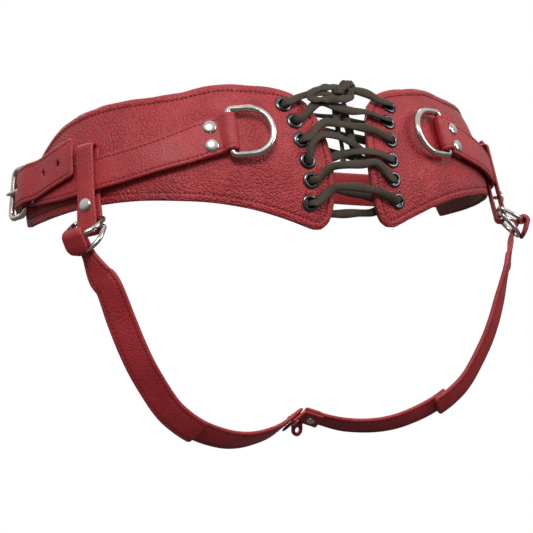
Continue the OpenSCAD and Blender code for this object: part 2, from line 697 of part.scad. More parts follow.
module lace() {
    color(lace_brown) cord([for (p = lace_path) on_hip(p.x, p.y, p.z)], lace_d);
}
module lace_knot() {
    color(lace_brown) translate(on_hip(0, knot_z, front_run)) sphere(r = knot_r);
}
// Free lace ends, hanging from the knot into the gap between the panels.
tail_path = [
    [2.5, knot_z - 6.5, 0.7], [3, knot_z - 11, -0.9], [3.8, knot_z - 18, -2], [4.4, knot_z - 26, -2.2],
    [4, knot_z - 34, -2], [4.6, knot_z - 42, -2.2], [5.2, knot_z - 49, -2]
];
module one_lace_tail() {
    cord([for (p = tail_path) on_hip(p.x, p.y, p.z)], lace_d);
}

// Nodes.
module panel_right() {
    color(red) one_panel();
}
module panel_left() {
    color(red) left_side() one_panel();
}
module lining_right() {
    color(dark_red) one_lining();
}
module lining_left() {
    color(dark_red) left_side() one_lining();
}
module eyelets_right() {
    color(gunmetal) one_eyelets();
}
module eyelets_left() {
    color(gunmetal) left_side() one_eyelets();
}
module eyelet_washers_right() {
    color(gunmetal) one_eyelet_washers();
}
module eyelet_washers_left() {
    color(gunmetal) left_side() one_eyelet_washers();
}
module side_strap_right() {
    color(red) one_side_strap();
}
module side_strap_left() {
    color(red) left_side() one_side_strap();
}
module strap_rivets_right() {
    color(nickel) one_strap_rivets();
}
module strap_rivets_left() {
    color(nickel) left_side() one_strap_rivets();
}
module buckle_rivets_right() {
    color(nickel) one_buckle_rivets();
}
module buckle_rivets_left() {
    color(nickel) left_side() one_buckle_rivets();
}
module d_ring_right() {
    color(nickel) one_d_ring();
}
module d_ring_left() {
    color(nickel) left_side() one_d_ring();
}
module buckle_frame_right() {
    color(nickel) one_buckle_frame();
}
module buckle_frame_left() {
    color(nickel) left_side() one_buckle_frame();
}
module buckle_tongue_right() {
    color(nickel) one_buckle_tongue();
}
module buckle_tongue_left() {
    color(nickel) left_side() one_buckle_tongue();
}
module hanger_right() {
    color(red) one_hanger();
}
module hanger_left() {
    color(red) left_side() one_hanger();
}
module hanger_rivet_right() {
    color(nickel) one_hanger_rivet();
}
module hanger_rivet_left() {
    color(nickel) left_side() one_hanger_rivet();
}
module upper_ring_right() {
    color(nickel) one_upper_ring();
}
module upper_ring_left() {
    color(nickel) left_side() one_upper_ring();
}
module lower_ring_right() {
    color(nickel) one_lower_ring();
}
module lower_ring_left() {
    color(nickel) left_side() one_lower_ring();
}
module leg_upper_right() {
    color(red) one_leg_upper();
}
module leg_upper_left() {
    color(red) left_side() one_leg_upper();
}
module leg_lower_right() {
    color(red) one_leg_lower();
}
module leg_lower_left() {
    color(red) left_side() one_leg_lower();
}
module lace_tail_right() {
    color(lace_brown) one_lace_tail();
}
module lace_tail_left() {
    color(lace_brown) left_side() one_lace_tail();
}

panel_left();
panel_right();
lining_left();
lining_right();
eyelets_left();
eyelets_right();
eyelet_washers_left();
eyelet_washers_right();
side_strap_left();
side_strap_right();
strap_rivets_left();
strap_rivets_right();
buckle_rivets_left();
buckle_rivets_right();
d_ring_left();
d_ring_right();
buckle_frame_left();
buckle_frame_right();
buckle_tongue_left();
buckle_tongue_right();
front_strap();
hanger_left();
hanger_right();
hanger_rivet_left();
hanger_rivet_right();
upper_ring_left();
upper_ring_right();
lower_ring_left();
lower_ring_right();
leg_upper_left();
leg_upper_right();
leg_lower_left();
leg_lower_right();
crotch_patch();
crotch_rivets();
lace();
lace_knot();
lace_tail_left();
lace_tail_right();
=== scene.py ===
import math
import bmesh
import bpy
import numpy as np
from mathutils import Matrix, Vector


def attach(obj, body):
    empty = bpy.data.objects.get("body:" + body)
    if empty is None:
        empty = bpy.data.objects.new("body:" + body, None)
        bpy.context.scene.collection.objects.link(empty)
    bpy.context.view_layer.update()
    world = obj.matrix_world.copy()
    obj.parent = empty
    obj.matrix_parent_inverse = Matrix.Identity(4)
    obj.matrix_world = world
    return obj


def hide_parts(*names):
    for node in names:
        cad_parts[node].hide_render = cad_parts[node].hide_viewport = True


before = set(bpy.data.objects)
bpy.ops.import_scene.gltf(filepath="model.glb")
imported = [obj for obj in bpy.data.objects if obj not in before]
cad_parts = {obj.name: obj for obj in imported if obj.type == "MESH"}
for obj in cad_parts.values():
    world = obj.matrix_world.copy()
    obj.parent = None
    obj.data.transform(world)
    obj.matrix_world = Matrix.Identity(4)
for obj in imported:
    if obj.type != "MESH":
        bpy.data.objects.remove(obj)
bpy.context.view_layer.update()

mm = 0.001

# Camera, behind the harness and to its left, at the height of the bottom joint and looking up a little.
cameraSet = {
    "azimuth": -28.66,
    "elevation": -7.6,
    "roll": -6.77,
    "distance": 1.0,
    "aim": (0.00217, 0.0, -0.05199),
    "lens": 92.5,
}


def makeCamera(c):
    a = math.radians(c["azimuth"])
    e = math.radians(c["elevation"])
    back = Vector((math.sin(a) * math.cos(e), -math.cos(a) * math.cos(e), math.sin(e)))
    right = Vector((math.cos(a), math.sin(a), 0))
    up = back.cross(right)
    r = math.radians(c["roll"])
    rolledRight = right * math.cos(r) + up * math.sin(r)
    rolledUp = -right * math.sin(r) + up * math.cos(r)
    data = bpy.data.cameras.new("camera")
    data.lens = c["lens"]
    data.sensor_width = 36
    data.clip_start = 0.01
    data.clip_end = 50
    obj = bpy.data.objects.new("camera", data)
    bpy.context.scene.collection.objects.link(obj)
    m = Matrix((rolledRight, rolledUp, back)).transposed().to_4x4()
    m.translation = Vector(c["aim"]) + back * c["distance"]
    obj.matrix_world = m
    bpy.context.scene.camera = obj


makeCamera(cameraSet)

# The hip surface: s runs round the hips from the middle of the back, z is the height on it, and out
# the distance outwards from the panels' outer face. All of these are millimetres.
hip = {"halfWidth": 173.0, "halfDepth": 135.0, "power": 2.35, "curl": 0.0033, "wideZ": -12.0, "drop": 0.07}
hipSteps = 1200


def superPos(t):
    k = 2 / hip["power"]
    x = hip["halfWidth"] * np.abs(np.sin(t)) ** k
    y = -hip["halfDepth"] * np.sign(np.cos(t)) * np.abs(np.cos(t)) ** k
    return np.stack([x, y], -1)


hipAngles = np.linspace(0, math.pi, hipSteps + 1)
hipPoints = superPos(hipAngles)
hipLengths = np.concatenate([[0], np.cumsum(np.linalg.norm(np.diff(hipPoints, axis=0), axis=1))])
halfRound = hipLengths[-1]


def unit(v):
    return v / np.linalg.norm(v, axis=-1, keepdims=True)


# A place on the hip surface and its directions: u along s, v up the surface and w outwards.
def hipFrame(s, z):
    s = np.asarray(s, float)
    z = np.asarray(z, float) + s * 0
    s = s + z * 0
    w = np.where(s > halfRound, s - 2 * halfRound, s)
    p = superPos(np.interp(np.abs(w), hipLengths, hipAngles))
    k = hip["power"] - 1
    sign = np.where(w < 0, -1.0, 1.0)
    n = np.stack([
        sign * (np.abs(p[..., 0]) / hip["halfWidth"]) ** k / hip["halfWidth"],
        np.sign(p[..., 1]) * (np.abs(p[..., 1]) / hip["halfDepth"]) ** k / hip["halfDepth"],
    ], -1)
    n = unit(n)
    curl = hip["curl"] * (z - hip["wideZ"]) ** 2
    lean = np.arctan(2 * hip["curl"] * (z - hip["wideZ"]))
    base = np.stack([
        sign * p[..., 0] - n[..., 0] * curl,
        p[..., 1] - n[..., 1] * curl,
        z - hip["drop"] * (p[..., 1] + hip["halfDepth"]),
    ], -1)
    w = np.stack([n[..., 0] * np.cos(lean), n[..., 1] * np.cos(lean), np.sin(lean)], -1)
    u = np.stack([-n[..., 1], n[..., 0], 0 * lean], -1)
    return base, u, np.cross(w, u), w


def onHip(s, z, out=0.0):
    base, u, v, w = hipFrame(s, z)
    return base + np.asarray(out, float)[..., None] * w


def ease(x):
    f = np.clip(x, 0, 1)
    return f * f * (3 - 2 * f)


def curveAt(points, x):
    p = np.asarray(points, float)
    n = len(p) - 1
    x = np.asarray(x, float)
    i = np.clip(np.floor(x).astype(int), 0, n - 1)
    f = (x - i)[..., None]
    a = p[np.maximum(i - 1, 0)]
    b = p[i]
    c = p[i + 1]
    d = p[np.minimum(i + 2, n)]
    return 0.5 * (2 * b + (c - a) * f + (2 * a - 5 * b + 4 * c - d) * f**2 + (3 * b - a - 3 * c + d) * f**3)


def evenly(points, steps):
    fine = np.linspace(0, len(points) - 1, 20 * (len(points) - 1) + 1)
    q = curveAt(points, fine)
    d = np.concatenate([[0], np.cumsum(np.linalg.norm(np.diff(q, axis=0), axis=1))])
    return curveAt(points, np.interp(np.asarray(steps) * d[-1], d, fine))


# Thicknesses and seats, as in the model.
sizes = {
    "leather": 2.2, "lining": 1.6, "glue": 0.1, "strap": 2.4, "frontStrap": 2.0, "hanger": 2.0,
    "dRingWire": 4.4, "frameWire": 4.0, "tongueWire": 2.6, "ringWire": 3.2, "running": 0.08,
}
foldIn = 0.25
strapIn = foldIn + sizes["strap"] + sizes["glue"]
strapOut = strapIn + sizes["strap"]
liningIn = -sizes["leather"] - sizes["glue"] - sizes["lining"]


def shadeAndOrient(obj):
    bm = bmesh.new()
    bm.from_mesh(obj.data)
    bmesh.ops.recalc_face_normals(bm, faces=bm.faces)
    for f in bm.faces:
        f.smooth = True
    bm.to_mesh(obj.data)
    bm.free()


def smoothFaces(obj):
    for face in obj.data.polygons:
        face.use_smooth = True


def newPiece(name, verts, faces, material, edge=None):
    mesh = bpy.data.meshes.new(name)
    mesh.from_pydata([tuple(v) for v in np.asarray(verts) * mm], [], faces)
    mesh.validate()
    if edge is not None:
        layer = mesh.attributes.new("edgeFade", "FLOAT", "POINT")
        layer.data.foreach_set("value", np.asarray(edge, float))
    obj = bpy.data.objects.new(name, mesh)
    bpy.context.scene.collection.objects.link(obj)
    mesh.materials.append(material)
    shadeAndOrient(obj)
    return obj


def loft(rings, closed=False):
    rings = np.asarray(rings)
    n, m = rings.shape[:2]
    faces = []
    for i in range(n if closed else n - 1):
        k = (i + 1) % n
        for j in range(m):
            q = (j + 1) % m
            faces.append((i * m + j, i * m + q, k * m + q, k * m + j))
    if not closed:
        faces.append(tuple(range(m)))
        faces.append(tuple((n - 1) * m + j for j in reversed(range(m))))
    return rings.reshape(-1, 3), faces


def joined(parts):
    verts, faces, edges = [], [], []
    base = 0
    for v, f, e in parts:
        verts.append(np.asarray(v))
        faces += [tuple(i + base for i in face) for face in f]
        edges.append(np.zeros(len(v)) if e is None else np.asarray(e, float))
        base += len(v)
    return np.concatenate(verts), faces, np.concatenate(edges)


def mirrored(v):
    return np.asarray(v) * np.array([-1.0, 1.0, 1.0])


def tangents(path, closed=False):
    p = np.asarray(path)
    if closed:
        return unit(np.roll(p, -1, 0) - np.roll(p, 1, 0))
    return unit(np.gradient(p, axis=0))


# Cross-section of a strap: across the width and through the thickness, with rounded edges, a pressed
# line under the stitches and a slight crown. The last value is 1 at the edge.
sectionSet = {"crown": 0.25, "groove": 0.28, "endThin": 0.55, "endOver": 0.8}


def strapSection(halfW, halfT, inset):
    crown = sectionSet["crown"]
    groove = sectionSet["groove"]
    right = [
        (0.0, halfT + crown, 0.0),
        (halfW * 0.35, halfT + crown * 0.9, 0.0),
        (max(halfW - inset - 1.6, halfW * 0.5), halfT + crown * 0.55, 0.0),
        (halfW - inset - 0.55, halfT + crown * 0.2, 0.25),
        (halfW - inset, halfT - groove, 0.6),
        (halfW - inset + 0.55, halfT + 0.02, 0.35),
        (halfW - 1.15, halfT - 0.02, 0.5),
        (halfW - 0.45, halfT - 0.3, 0.8),
        (halfW - 0.08, halfT * 0.35, 1.0),
        (halfW - 0.08, -halfT * 0.35, 1.0),
        (halfW - 0.45, -halfT + 0.3, 0.8),
        (halfW - 1.15, -halfT, 0.5),
        (halfW * 0.5, -halfT, 0.2),
    ]
    left = [(-a, b, e) for a, b, e in reversed(right[1:])]
    return right + [(0.0, -halfT, 0.2)] + left


def roundedEnd(half, distance, radius):
    if not radius or distance >= radius:
        return half
    r = min(radius, half)
    gone = max(r - distance, 0)
    return max(half - r + math.sqrt(max(r * r - gone * gone, 0)), 0.17 * half)


# A strap along its centres, and what its stitches follow. Cut ends are a little thinner.
def strapParts(centres, sides, widths, thick, closed=False, inset=2.7, tipStart=0, tipEnd=0):
    thin = sectionSet["endThin"]
    centres = np.asarray(centres, float)
    t = tangents(centres, closed)
    s = np.asarray(sides, float)
    s = unit(s - t * np.sum(s * t, -1, keepdims=True))
    o = unit(np.cross(t, s))
    run = np.concatenate([[0], np.cumsum(np.linalg.norm(np.diff(centres, axis=0), axis=1))])
    rings, edge = [], []
    for i in range(len(centres)):
        w = widths[i] / 2
        w = roundedEnd(w, run[i], tipStart)
        w = roundedEnd(w, run[-1] - run[i], tipEnd)
        end = 1.0
        if not closed:
            end = min(1.0, thin + (1 - thin) * min(run[i], run[-1] - run[i]) / sectionSet["endOver"])
        section = strapSection(w, thick / 2, min(inset, w * 0.45))
        rings.append([centres[i] + s[i] * a + o[i] * b * end for a, b, e in section])
        edge += [e for a, b, e in section]
    v, f = loft(rings, closed)
    return (v, f, edge), (centres, s, o)


# Stitch lines are polylines that the stitch tree fills with thread; they are collected for each body.
stitchLines = {}
threadSeat = {"lift": 0.06, "half": 0.22}


def addStitches(body, side, strap, widths, thick, start, end, inset=2.7):
    centres, s, o = strap
    height = thick / 2 - sectionSet["groove"] + threadSeat["lift"] + threadSeat["half"]
    for hand in (-1, 1):
        line = [
            centres[i] + s[i] * hand * (widths[i] / 2 - inset) + o[i] * height
            for i in range(start, end)
        ]
        stitchLines.setdefault(body, []).append(sidedPoints(side, line))


capSet = {"narrow": 0.6, "stand": 0.3}


# A tube along a path. flat squashes it, twist turns it, and lie holds normals for it to lie flat on.
def tubeParts(path, radius, segments, startUp, closed=False, flat=1.0, twist=None, lie=None):
    path = np.asarray(path, float)
    t = tangents(path, closed)
    up = np.asarray(startUp, float)
    rings = []
    r = np.full(len(path), radius) if np.isscalar(radius) else np.asarray(radius)
    angles = np.linspace(0, 2 * math.pi, segments, endpoint=False)
    for i in range(len(path)):
        if lie is not None:
            n = lie[i] - t[i] * np.dot(lie[i], t[i])
            up = up + n * math.copysign(0.4, np.dot(up, n))
        up = up - t[i] * np.dot(up, t[i])
        up = up / np.linalg.norm(up)
        b = np.cross(t[i], up)
        turn = 0 if twist is None else twist[i]
        a1 = up * math.cos(turn) + b * math.sin(turn)
        b1 = -up * math.sin(turn) + b * math.cos(turn)
        rings.append([path[i] + (b1 * math.cos(a) + a1 * math.sin(a) * flat) * r[i] for a in angles])
    if closed:
        v, f = loft(rings, True)
        return v, f, None
    first = np.mean(rings[0], 0)
    last = np.mean(rings[-1], 0)
    narrow, stand = capSet["narrow"], capSet["stand"]
    capStart = [first + (np.array(q) - first) * narrow - t[0] * r[0] * stand for q in rings[0]]
    capEnd = [last + (np.array(q) - last) * narrow + t[-1] * r[-1] * stand for q in rings[-1]]
    rings = [capStart] + rings + [capEnd]
    v, f = loft(rings)
    return v, f, None


def spokes(axis, segments):
    helper = np.array([0, 0, 1.0]) if abs(axis[2]) < 0.9 else np.array([1.0, 0, 0])
    u = unit(np.cross(helper, axis))
    v = np.cross(axis, u)
    return [u * math.cos(a) + v * math.sin(a) for a in np.linspace(0, 2 * math.pi, segments, endpoint=False)]


poleRadius = 0.02


# A solid turned about its axis, from points of radius and height. Its poles stay slightly open to be capped.
def lathe(profile, origin, axis, segments):
    around = spokes(axis, segments)
    rings = [[origin + axis * h + q * max(r, poleRadius) for q in around] for r, h in profile]
    verts, faces = loft(rings)
    return verts, faces, None


# Shared shader effects.
def newGroup(name, inputs, outputs):
    tree = bpy.data.node_groups.new(name, "ShaderNodeTree")
    for label, kind, value in inputs:
        socket = tree.interface.new_socket(label, in_out="INPUT", socket_type=kind)
        if value is not None:
            socket.default_value = value
    for label, kind in outputs:
        tree.interface.new_socket(label, in_out="OUTPUT", socket_type=kind)
    return tree, tree.nodes.new("NodeGroupInput"), tree.nodes.new("NodeGroupOutput")


def mathNode(tree, operation, a, b=None, clamp=False):
    node = tree.nodes.new("ShaderNodeMath")
    node.operation = operation
    node.use_clamp = clamp
    for i, value in enumerate((a, b)):
        if value is None:
            continue
        if isinstance(value, (int, float)):
            node.inputs[i].default_value = value
        else:
            tree.links.new(value, node.inputs[i])
    return node.outputs[0]


def noiseNode(tree, vector, scale, detail=3.0, roughness=0.55):
    node = tree.nodes.new("ShaderNodeTexNoise")
    tree.links.new(vector, node.inputs["Vector"])
    if isinstance(scale, (int, float)):
        node.inputs["Scale"].default_value = scale
    else:
        tree.links.new(scale, node.inputs["Scale"])
    node.inputs["Detail"].default_value = detail
    node.inputs["Roughness"].default_value = roughness
    return node.outputs[0]


def mapRange(tree, value, low, high, toLow=0.0, toHigh=1.0):
    node = tree.nodes.new("ShaderNodeMapRange")
    tree.links.new(value, node.inputs[0])
    for i, v in enumerate((low, high, toLow, toHigh)):
        node.inputs[i + 1].default_value = v
    return node.outputs[0]


def mixColour(tree, factor, a, b):
    node = tree.nodes.new("ShaderNodeMix")
    node.data_type = "RGBA"
    for socket, value in ((node.inputs[0], factor), (node.inputs[6], a), (node.inputs[7], b)):
        if isinstance(value, (int, float, tuple)):
            socket.default_value = value
        else:
            tree.links.new(value, socket)
    return node.outputs[2]


# Pebbled grain: rounded cells with creases between them, and finer pores. Height drives a bump; Creases also
# drives painted shade in the creases.
def makeGrainGroup():
    tree, gi, go = newGroup("leatherGrain", [
        ("Cells per metre", "NodeSocketFloat", 900.0),
        ("Crease", "NodeSocketFloat", 0.6),
        ("Pores", "NodeSocketFloat", 0.25),
    ], [("Height", "NodeSocketFloat"), ("Creases", "NodeSocketFloat"), ("Mottle", "NodeSocketFloat")])
    at = tree.nodes.new("ShaderNodeTexCoord").outputs["Object"]
    warp = tree.nodes.new("ShaderNodeTexNoise")
    warp.inputs["Scale"].default_value = 260.0
    tree.links.new(at, warp.inputs["Vector"])
    shift = tree.nodes.new("ShaderNodeVectorMath")
    shift.operation = "MULTIPLY_ADD"
    tree.links.new(warp.outputs["Color"], shift.inputs[0])
    shift.inputs[1].default_value = (0.0016, 0.0016, 0.0016)
    tree.links.new(at, shift.inputs[2])
    cells = tree.nodes.new("ShaderNodeTexVoronoi")
    cells.feature = "SMOOTH_F1"
    tree.links.new(shift.outputs[0], cells.inputs["Vector"])
    tree.links.new(gi.outputs["Cells per metre"], cells.inputs["Scale"])
    cells.inputs["Smoothness"].default_value = 0.35
    crease = mapRange(tree, cells.outputs["Distance"], 0.25, 0.75)
    fine = mathNode(tree, "MULTIPLY", gi.outputs["Cells per metre"], 3.1)
    pores = noiseNode(tree, at, fine, 2.0)
    zone = noiseNode(tree, at, 38.0, 2.0)
    depth = mapRange(tree, zone, 0.35, 0.7, 0.55, 1.15)
    creased = mathNode(tree, "MULTIPLY", mathNode(tree, "MULTIPLY", crease, gi.outputs["Crease"]), depth)
    pored = mathNode(tree, "MULTIPLY", pores, gi.outputs["Pores"])
    height = mathNode(tree, "SUBTRACT", pored, creased)
    tree.links.new(height, go.inputs["Height"])
    tree.links.new(mathNode(tree, "MULTIPLY", crease, depth), go.inputs["Creases"])
    tree.links.new(noiseNode(tree, at, 55.0, 5.0, 0.6), go.inputs["Mottle"])
    return tree


# Wear where a piece's own edge value is high, broken up by noise.
def makeWearGroup():
    tree, gi, go = newGroup("edgeWear", [
        ("Amount", "NodeSocketFloat", 0.5),
        ("Breakup per metre", "NodeSocketFloat", 320.0),
    ], [("Mask", "NodeSocketFloat")])
    at = tree.nodes.new("ShaderNodeTexCoord").outputs["Object"]
    edge = tree.nodes.new("ShaderNodeAttribute")
    edge.attribute_name = "edgeFade"
    noise = noiseNode(tree, at, gi.outputs["Breakup per metre"], 4.0)
    near = mapRange(tree, edge.outputs["Fac"], 0.45, 1.0)
    broken = mapRange(tree, noise, 0.32, 0.68)
    mask = mathNode(tree, "MULTIPLY", mathNode(tree, "MULTIPLY", near, broken), gi.outputs["Amount"], True)
    tree.links.new(mask, go.inputs["Mask"])
    return tree


# Fine scratches and smears for plated metal.
def makeScratchGroup():
    tree, gi, go = newGroup("platingMarks", [
        ("Marks per metre", "NodeSocketFloat", 500.0),
        ("Smear", "NodeSocketFloat", 0.1),
        ("Base", "NodeSocketFloat", 0.12),
    ], [("Roughness", "NodeSocketFloat"), ("Height", "NodeSocketFloat"), ("Tone", "NodeSocketFloat")])
    at = tree.nodes.new("ShaderNodeTexCoord").outputs["Object"]
    smear = noiseNode(tree, at, 130.0, 4.0)
    fine = noiseNode(tree, at, gi.outputs["Marks per metre"], 6.0, 0.7)
    rough = mathNode(tree, "ADD", gi.outputs["Base"], mathNode(tree, "MULTIPLY", smear, gi.outputs["Smear"]))
    tree.links.new(rough, go.inputs["Roughness"])
    tree.links.new(fine, go.inputs["Height"])
    tree.links.new(mapRange(tree, smear, 0.3, 0.7), go.inputs["Tone"])
    return tree


grainGroup = makeGrainGroup()
wearGroup = makeWearGroup()
scratchGroup = makeScratchGroup()


def placeGroup(tree, group, **values):
    node = tree.nodes.new("ShaderNodeGroup")
    node.node_tree = group
    for label, value in values.items():
        node.inputs[label.replace("_", " ")].default_value = value
    return node


def newMaterial(name):
    material = bpy.data.materials.new(name)
    material.use_nodes = True
    tree = material.node_tree
    return material, tree, tree.nodes["Principled BSDF"]


def makeLeather(name, look):
    material, tree, bsdf = newMaterial(name)
    cells, crease, pores = look["cells"], look["crease"], look["pores"]
    grain = placeGroup(tree, grainGroup, Cells_per_metre=cells, Crease=crease, Pores=pores)
    wear = placeGroup(tree, wearGroup, Amount=look["wear"])
    mottle = mapRange(tree, grain.outputs["Mottle"], 0.32, 0.68)
    colour = mixColour(tree, mottle, look["deep"], look["bright"])
    # Painted shade: the colour is darkened in the grain's creases, where shade falls.
    creased = mathNode(tree, "MULTIPLY", grain.outputs["Creases"], look["creaseShadeAmount"], True)
    colour = mixColour(tree, creased, colour, look["creaseShadeColour"])
    colour = mixColour(tree, wear.outputs["Mask"], colour, look["edgeColour"])
    tree.links.new(colour, bsdf.inputs["Base Color"])
    rough = mapRange(tree, grain.outputs["Mottle"], 0.25, 0.75, look["rough"][0], look["rough"][1])
    rough = mathNode(tree, "ADD", rough, mathNode(tree, "MULTIPLY", grain.outputs["Creases"], 0.12), True)
    tree.links.new(rough, bsdf.inputs["Roughness"])
    bump = tree.nodes.new("ShaderNodeBump")
    bump.inputs["Strength"].default_value = look["bump"]
    bump.inputs["Distance"].default_value = look["bumpDepth"]
    tree.links.new(grain.outputs["Height"], bump.inputs["Height"])
    tree.links.new(bump.outputs[0], bsdf.inputs["Normal"])
    bsdf.inputs["Specular IOR Level"].default_value = look["specular"]
    return material


# Leather looks. The crease colour and amount paint shade into the grain's creases.
redLook = {
    "cells": 760.0, "crease": 1.0, "pores": 0.3, "wear": 0.3,
    "deep": (0.33, 0.016, 0.021, 1), "bright": (0.44, 0.026, 0.033, 1),
    "creaseShadeColour": (0.17, 0.006, 0.01, 1), "creaseShadeAmount": 0.35, "edgeColour": (0.2, 0.012, 0.015, 1),
    "rough": (0.33, 0.46), "bump": 0.9, "bumpDepth": 0.0006, "specular": 0.5,
}
strapLook = dict(redLook, cells=1050.0, crease=0.6, bump=0.6, creaseShadeAmount=0.2, rough=(0.34, 0.46))
liningLook = dict(
    redLook, cells=1500.0, crease=0.3, deep=(0.07, 0.018, 0.014, 1), bright=(0.13, 0.032, 0.024, 1),
    creaseShadeColour=(0.04, 0.01, 0.008, 1), edgeColour=(0.06, 0.012, 0.01, 1), rough=(0.6, 0.8), specular=0.3,
)
laceLook = dict(
    redLook, cells=1900.0, crease=0.5, deep=(0.036, 0.027, 0.017, 1), bright=(0.08, 0.061, 0.038, 1),
    creaseShadeColour=(0.015, 0.011, 0.008, 1), edgeColour=(0.1, 0.08, 0.055, 1), wear=0.4, rough=(0.55, 0.75),
    specular=0.35, bumpDepth=0.0002,
)
redLeather = makeLeather("redPanelLeather", redLook)
strapLeather = makeLeather("redStrapLeather", strapLook)
liningLeather = makeLeather("liningLeather", liningLook)
laceLeather = makeLeather("laceLeather", laceLook)


def makeMetal(name, look):
    material, tree, bsdf = newMaterial(name)
    count, smear, rough = look["marks"], look["smear"], look["rough"]
    marks = placeGroup(tree, scratchGroup, Marks_per_metre=count, Smear=smear, Base=rough)
    colour = mixColour(tree, marks.outputs["Tone"], look["dark"], look["light"])
    tree.links.new(colour, bsdf.inputs["Base Color"])
    tree.links.new(marks.outputs["Roughness"], bsdf.inputs["Roughness"])
    bump = tree.nodes.new("ShaderNodeBump")
    bump.inputs["Strength"].default_value = look["bump"]
    bump.inputs["Distance"].default_value = 0.00005
    tree.links.new(marks.outputs["Height"], bump.inputs["Height"])
    tree.links.new(bump.outputs[0], bsdf.inputs["Normal"])
    bsdf.inputs["Metallic"].default_value = 1.0
    return material


nickel = makeMetal("nickelPlate", {
    "marks": 900.0, "smear": 0.16, "rough": 0.08, "bump": 0.12,
    "dark": (0.55, 0.53, 0.48, 1), "light": (0.78, 0.76, 0.7, 1),
})
gunmetal = makeMetal("darkPlate", {
    "marks": 700.0, "smear": 0.2, "rough": 0.14, "bump": 0.15,
    "dark": (0.06, 0.065, 0.07, 1), "light": (0.16, 0.17, 0.18, 1),
})


def makeThread():
    material, tree, bsdf = newMaterial("burgundyThread")
    at = tree.nodes.new("ShaderNodeTexCoord").outputs["Object"]
    ply = noiseNode(tree, at, 2600.0, 2.0)
    colour = mixColour(tree, mapRange(tree, ply, 0.35, 0.65), (0.09, 0.005, 0.008, 1), (0.2, 0.013, 0.018, 1))
    tree.links.new(colour, bsdf.inputs["Base Color"])
    bump = tree.nodes.new("ShaderNodeBump")
    bump.inputs["Strength"].default_value = 0.5
    bump.inputs["Distance"].default_value = 0.0001
    tree.links.new(ply, bump.inputs["Height"])
    tree.links.new(bump.outputs[0], bsdf.inputs["Normal"])
    bsdf.inputs["Roughness"].default_value = 0.7
    return material


thread = makeThread()
print("materials ready")


def finishPiece(name, parts, material, body, nodes):
    v, f, e = joined(parts)
    obj = newPiece(name, v, f, material, e)
    return settle(obj, body, nodes)


def settle(obj, body, nodes):
    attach(obj, body)
    if nodes:
        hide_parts(*nodes)
    return obj


def flip(part):
    v, f, e = part
    return mirrored(v), [tuple(reversed(q)) for q in f], e


def forSides(make, body, *nodes):
    for side in ("right", "left"):
        make(side, body.replace("*", side), [n.replace("*", side) for n in nodes])


def sided(side, part):
    return part if side == "right" else flip(part)


def sidedPoints(side, points):
    return np.asarray(points) if side == "right" else mirrored(points)


def applied(obj):
    depsgraph = bpy.context.evaluated_depsgraph_get()
    mesh = bpy.data.meshes.new_from_object(obj.evaluated_get(depsgraph))
    obj.modifiers.clear()
    obj.data = mesh
    return obj


def cutWith(obj, cutter):
    modifier = obj.modifiers.new("cut", "BOOLEAN")
    modifier.operation = "DIFFERENCE"
    modifier.solver = "MANIFOLD"
    modifier.object = cutter
    applied(obj)
    bpy.data.objects.remove(cutter)
    smoothFaces(obj)
    return obj


# Back panels with their linings.
panelSet = {
    "hem": 4.9, "roll": 1.05, "rollWidth": 1.3, "hemPuff": 0.45, "puffAt": 2.9, "puffWidth": 1.3,
    "groove": 0.42, "grooveWidth": 0.55, "pad": 0.35, "padFrom": 5.0, "padOver": 9.0,
    "wave": 0.35, "waveFrom": 12.0, "holeRadius": 3.45, "liningRound": 0.5, "liningEdge": 0.8,
}
# Outlines of a back panel, as s and z.
topEdge = [
    (24, 34.5), (30, 39.8), (38, 44.4), (50, 47.4), (68, 50), (86, 51.5), (100, 50), (116, 48.6), (135, 49.3),
    (160, 51.3), (185, 51.8), (205, 50.4), (221, 46.5), (236, 39), (248, 31), (260, 23),
]
bottomEdge = [
    (26, -49.4), (31, -49.4), (38, -46.8), (54, -40.4), (74, -33.4), (98, -27), (122, -22.3), (146, -18),
    (170, -15), (196, -12.5), (225, -10), (260, -6),
]
laceEdge = [
    (26, -49.4), (20.6, -45.6), (17, -38), (15, -27), (13.9, -13), (14.3, -2), (15.8, 10), (18.4, 22),
    (24, 34.5),
]
endEdge = [(260, -6), (263, 2), (263, 15), (260, 23)]
eyeletPlaces = [(41.6, 33.8), (36.2, 21.8), (34.3, 8.8), (32.2, -5.3), (31.6, -18.3), (33.6, -32.6)]


# Grid lines along a length, close together near both ends and evenly spaced between.
def clustered(length, middle):
    near = np.array([
        0, 0.25, 0.6, 1.1, 1.7, 2.4, 3.1, 3.7, 4.2, 4.6, 4.9, 5.2, 5.6, 6.1, 6.8, 7.8, 9.2, 11.5,
    ])
    margin = 14.5
    count = len(np.arange(margin, length - margin + 0.1, middle))
    inner = np.linspace(margin, length - margin, count + 1)
    return np.concatenate([near, inner, length - near[::-1]]) / length


panelU = clustered(245.0, 4.0)
panelV = clustered(75.0, 3.5)


# The grid of a panel, blended from its four edges, and how far each point is from the rim.
def panelPlan():
    b = evenly(bottomEdge, panelU)
    t = evenly(topEdge, panelU)
    l = evenly(laceEdge, panelV)
    e = evenly(endEdge, panelV)
    u = panelU[:, None, None]
    v = panelV[None, :, None]
    plan = (1 - v) * b[:, None] + v * t[:, None] + (1 - u) * l[None] + u * e[None]
    plan -= (1 - u) * (1 - v) * b[0] + u * (1 - v) * b[-1] + (1 - u) * v * t[0] + u * v * t[-1]
    outline = (bottomEdge, topEdge, laceEdge, endEdge)
    rim = np.concatenate([evenly(q, np.linspace(0, 1, 240)) for q in outline])
    flat = plan.reshape(-1, 2)
    d = np.min(np.linalg.norm(flat[:, None] - rim[None], axis=2), axis=1)
    return flat, d


planPoints, planEdge = panelPlan()


def softWave(s, z, seed):
    return (
        np.sin(s * 0.071 + seed) * np.cos(z * 0.093 + seed * 1.7)
        + 0.5 * np.sin(s * 0.163 - z * 0.11 + seed * 2.3)
        + 0.3 * np.sin(s * 0.31 + z * 0.27 + seed * 0.6)
    ) / 1.8


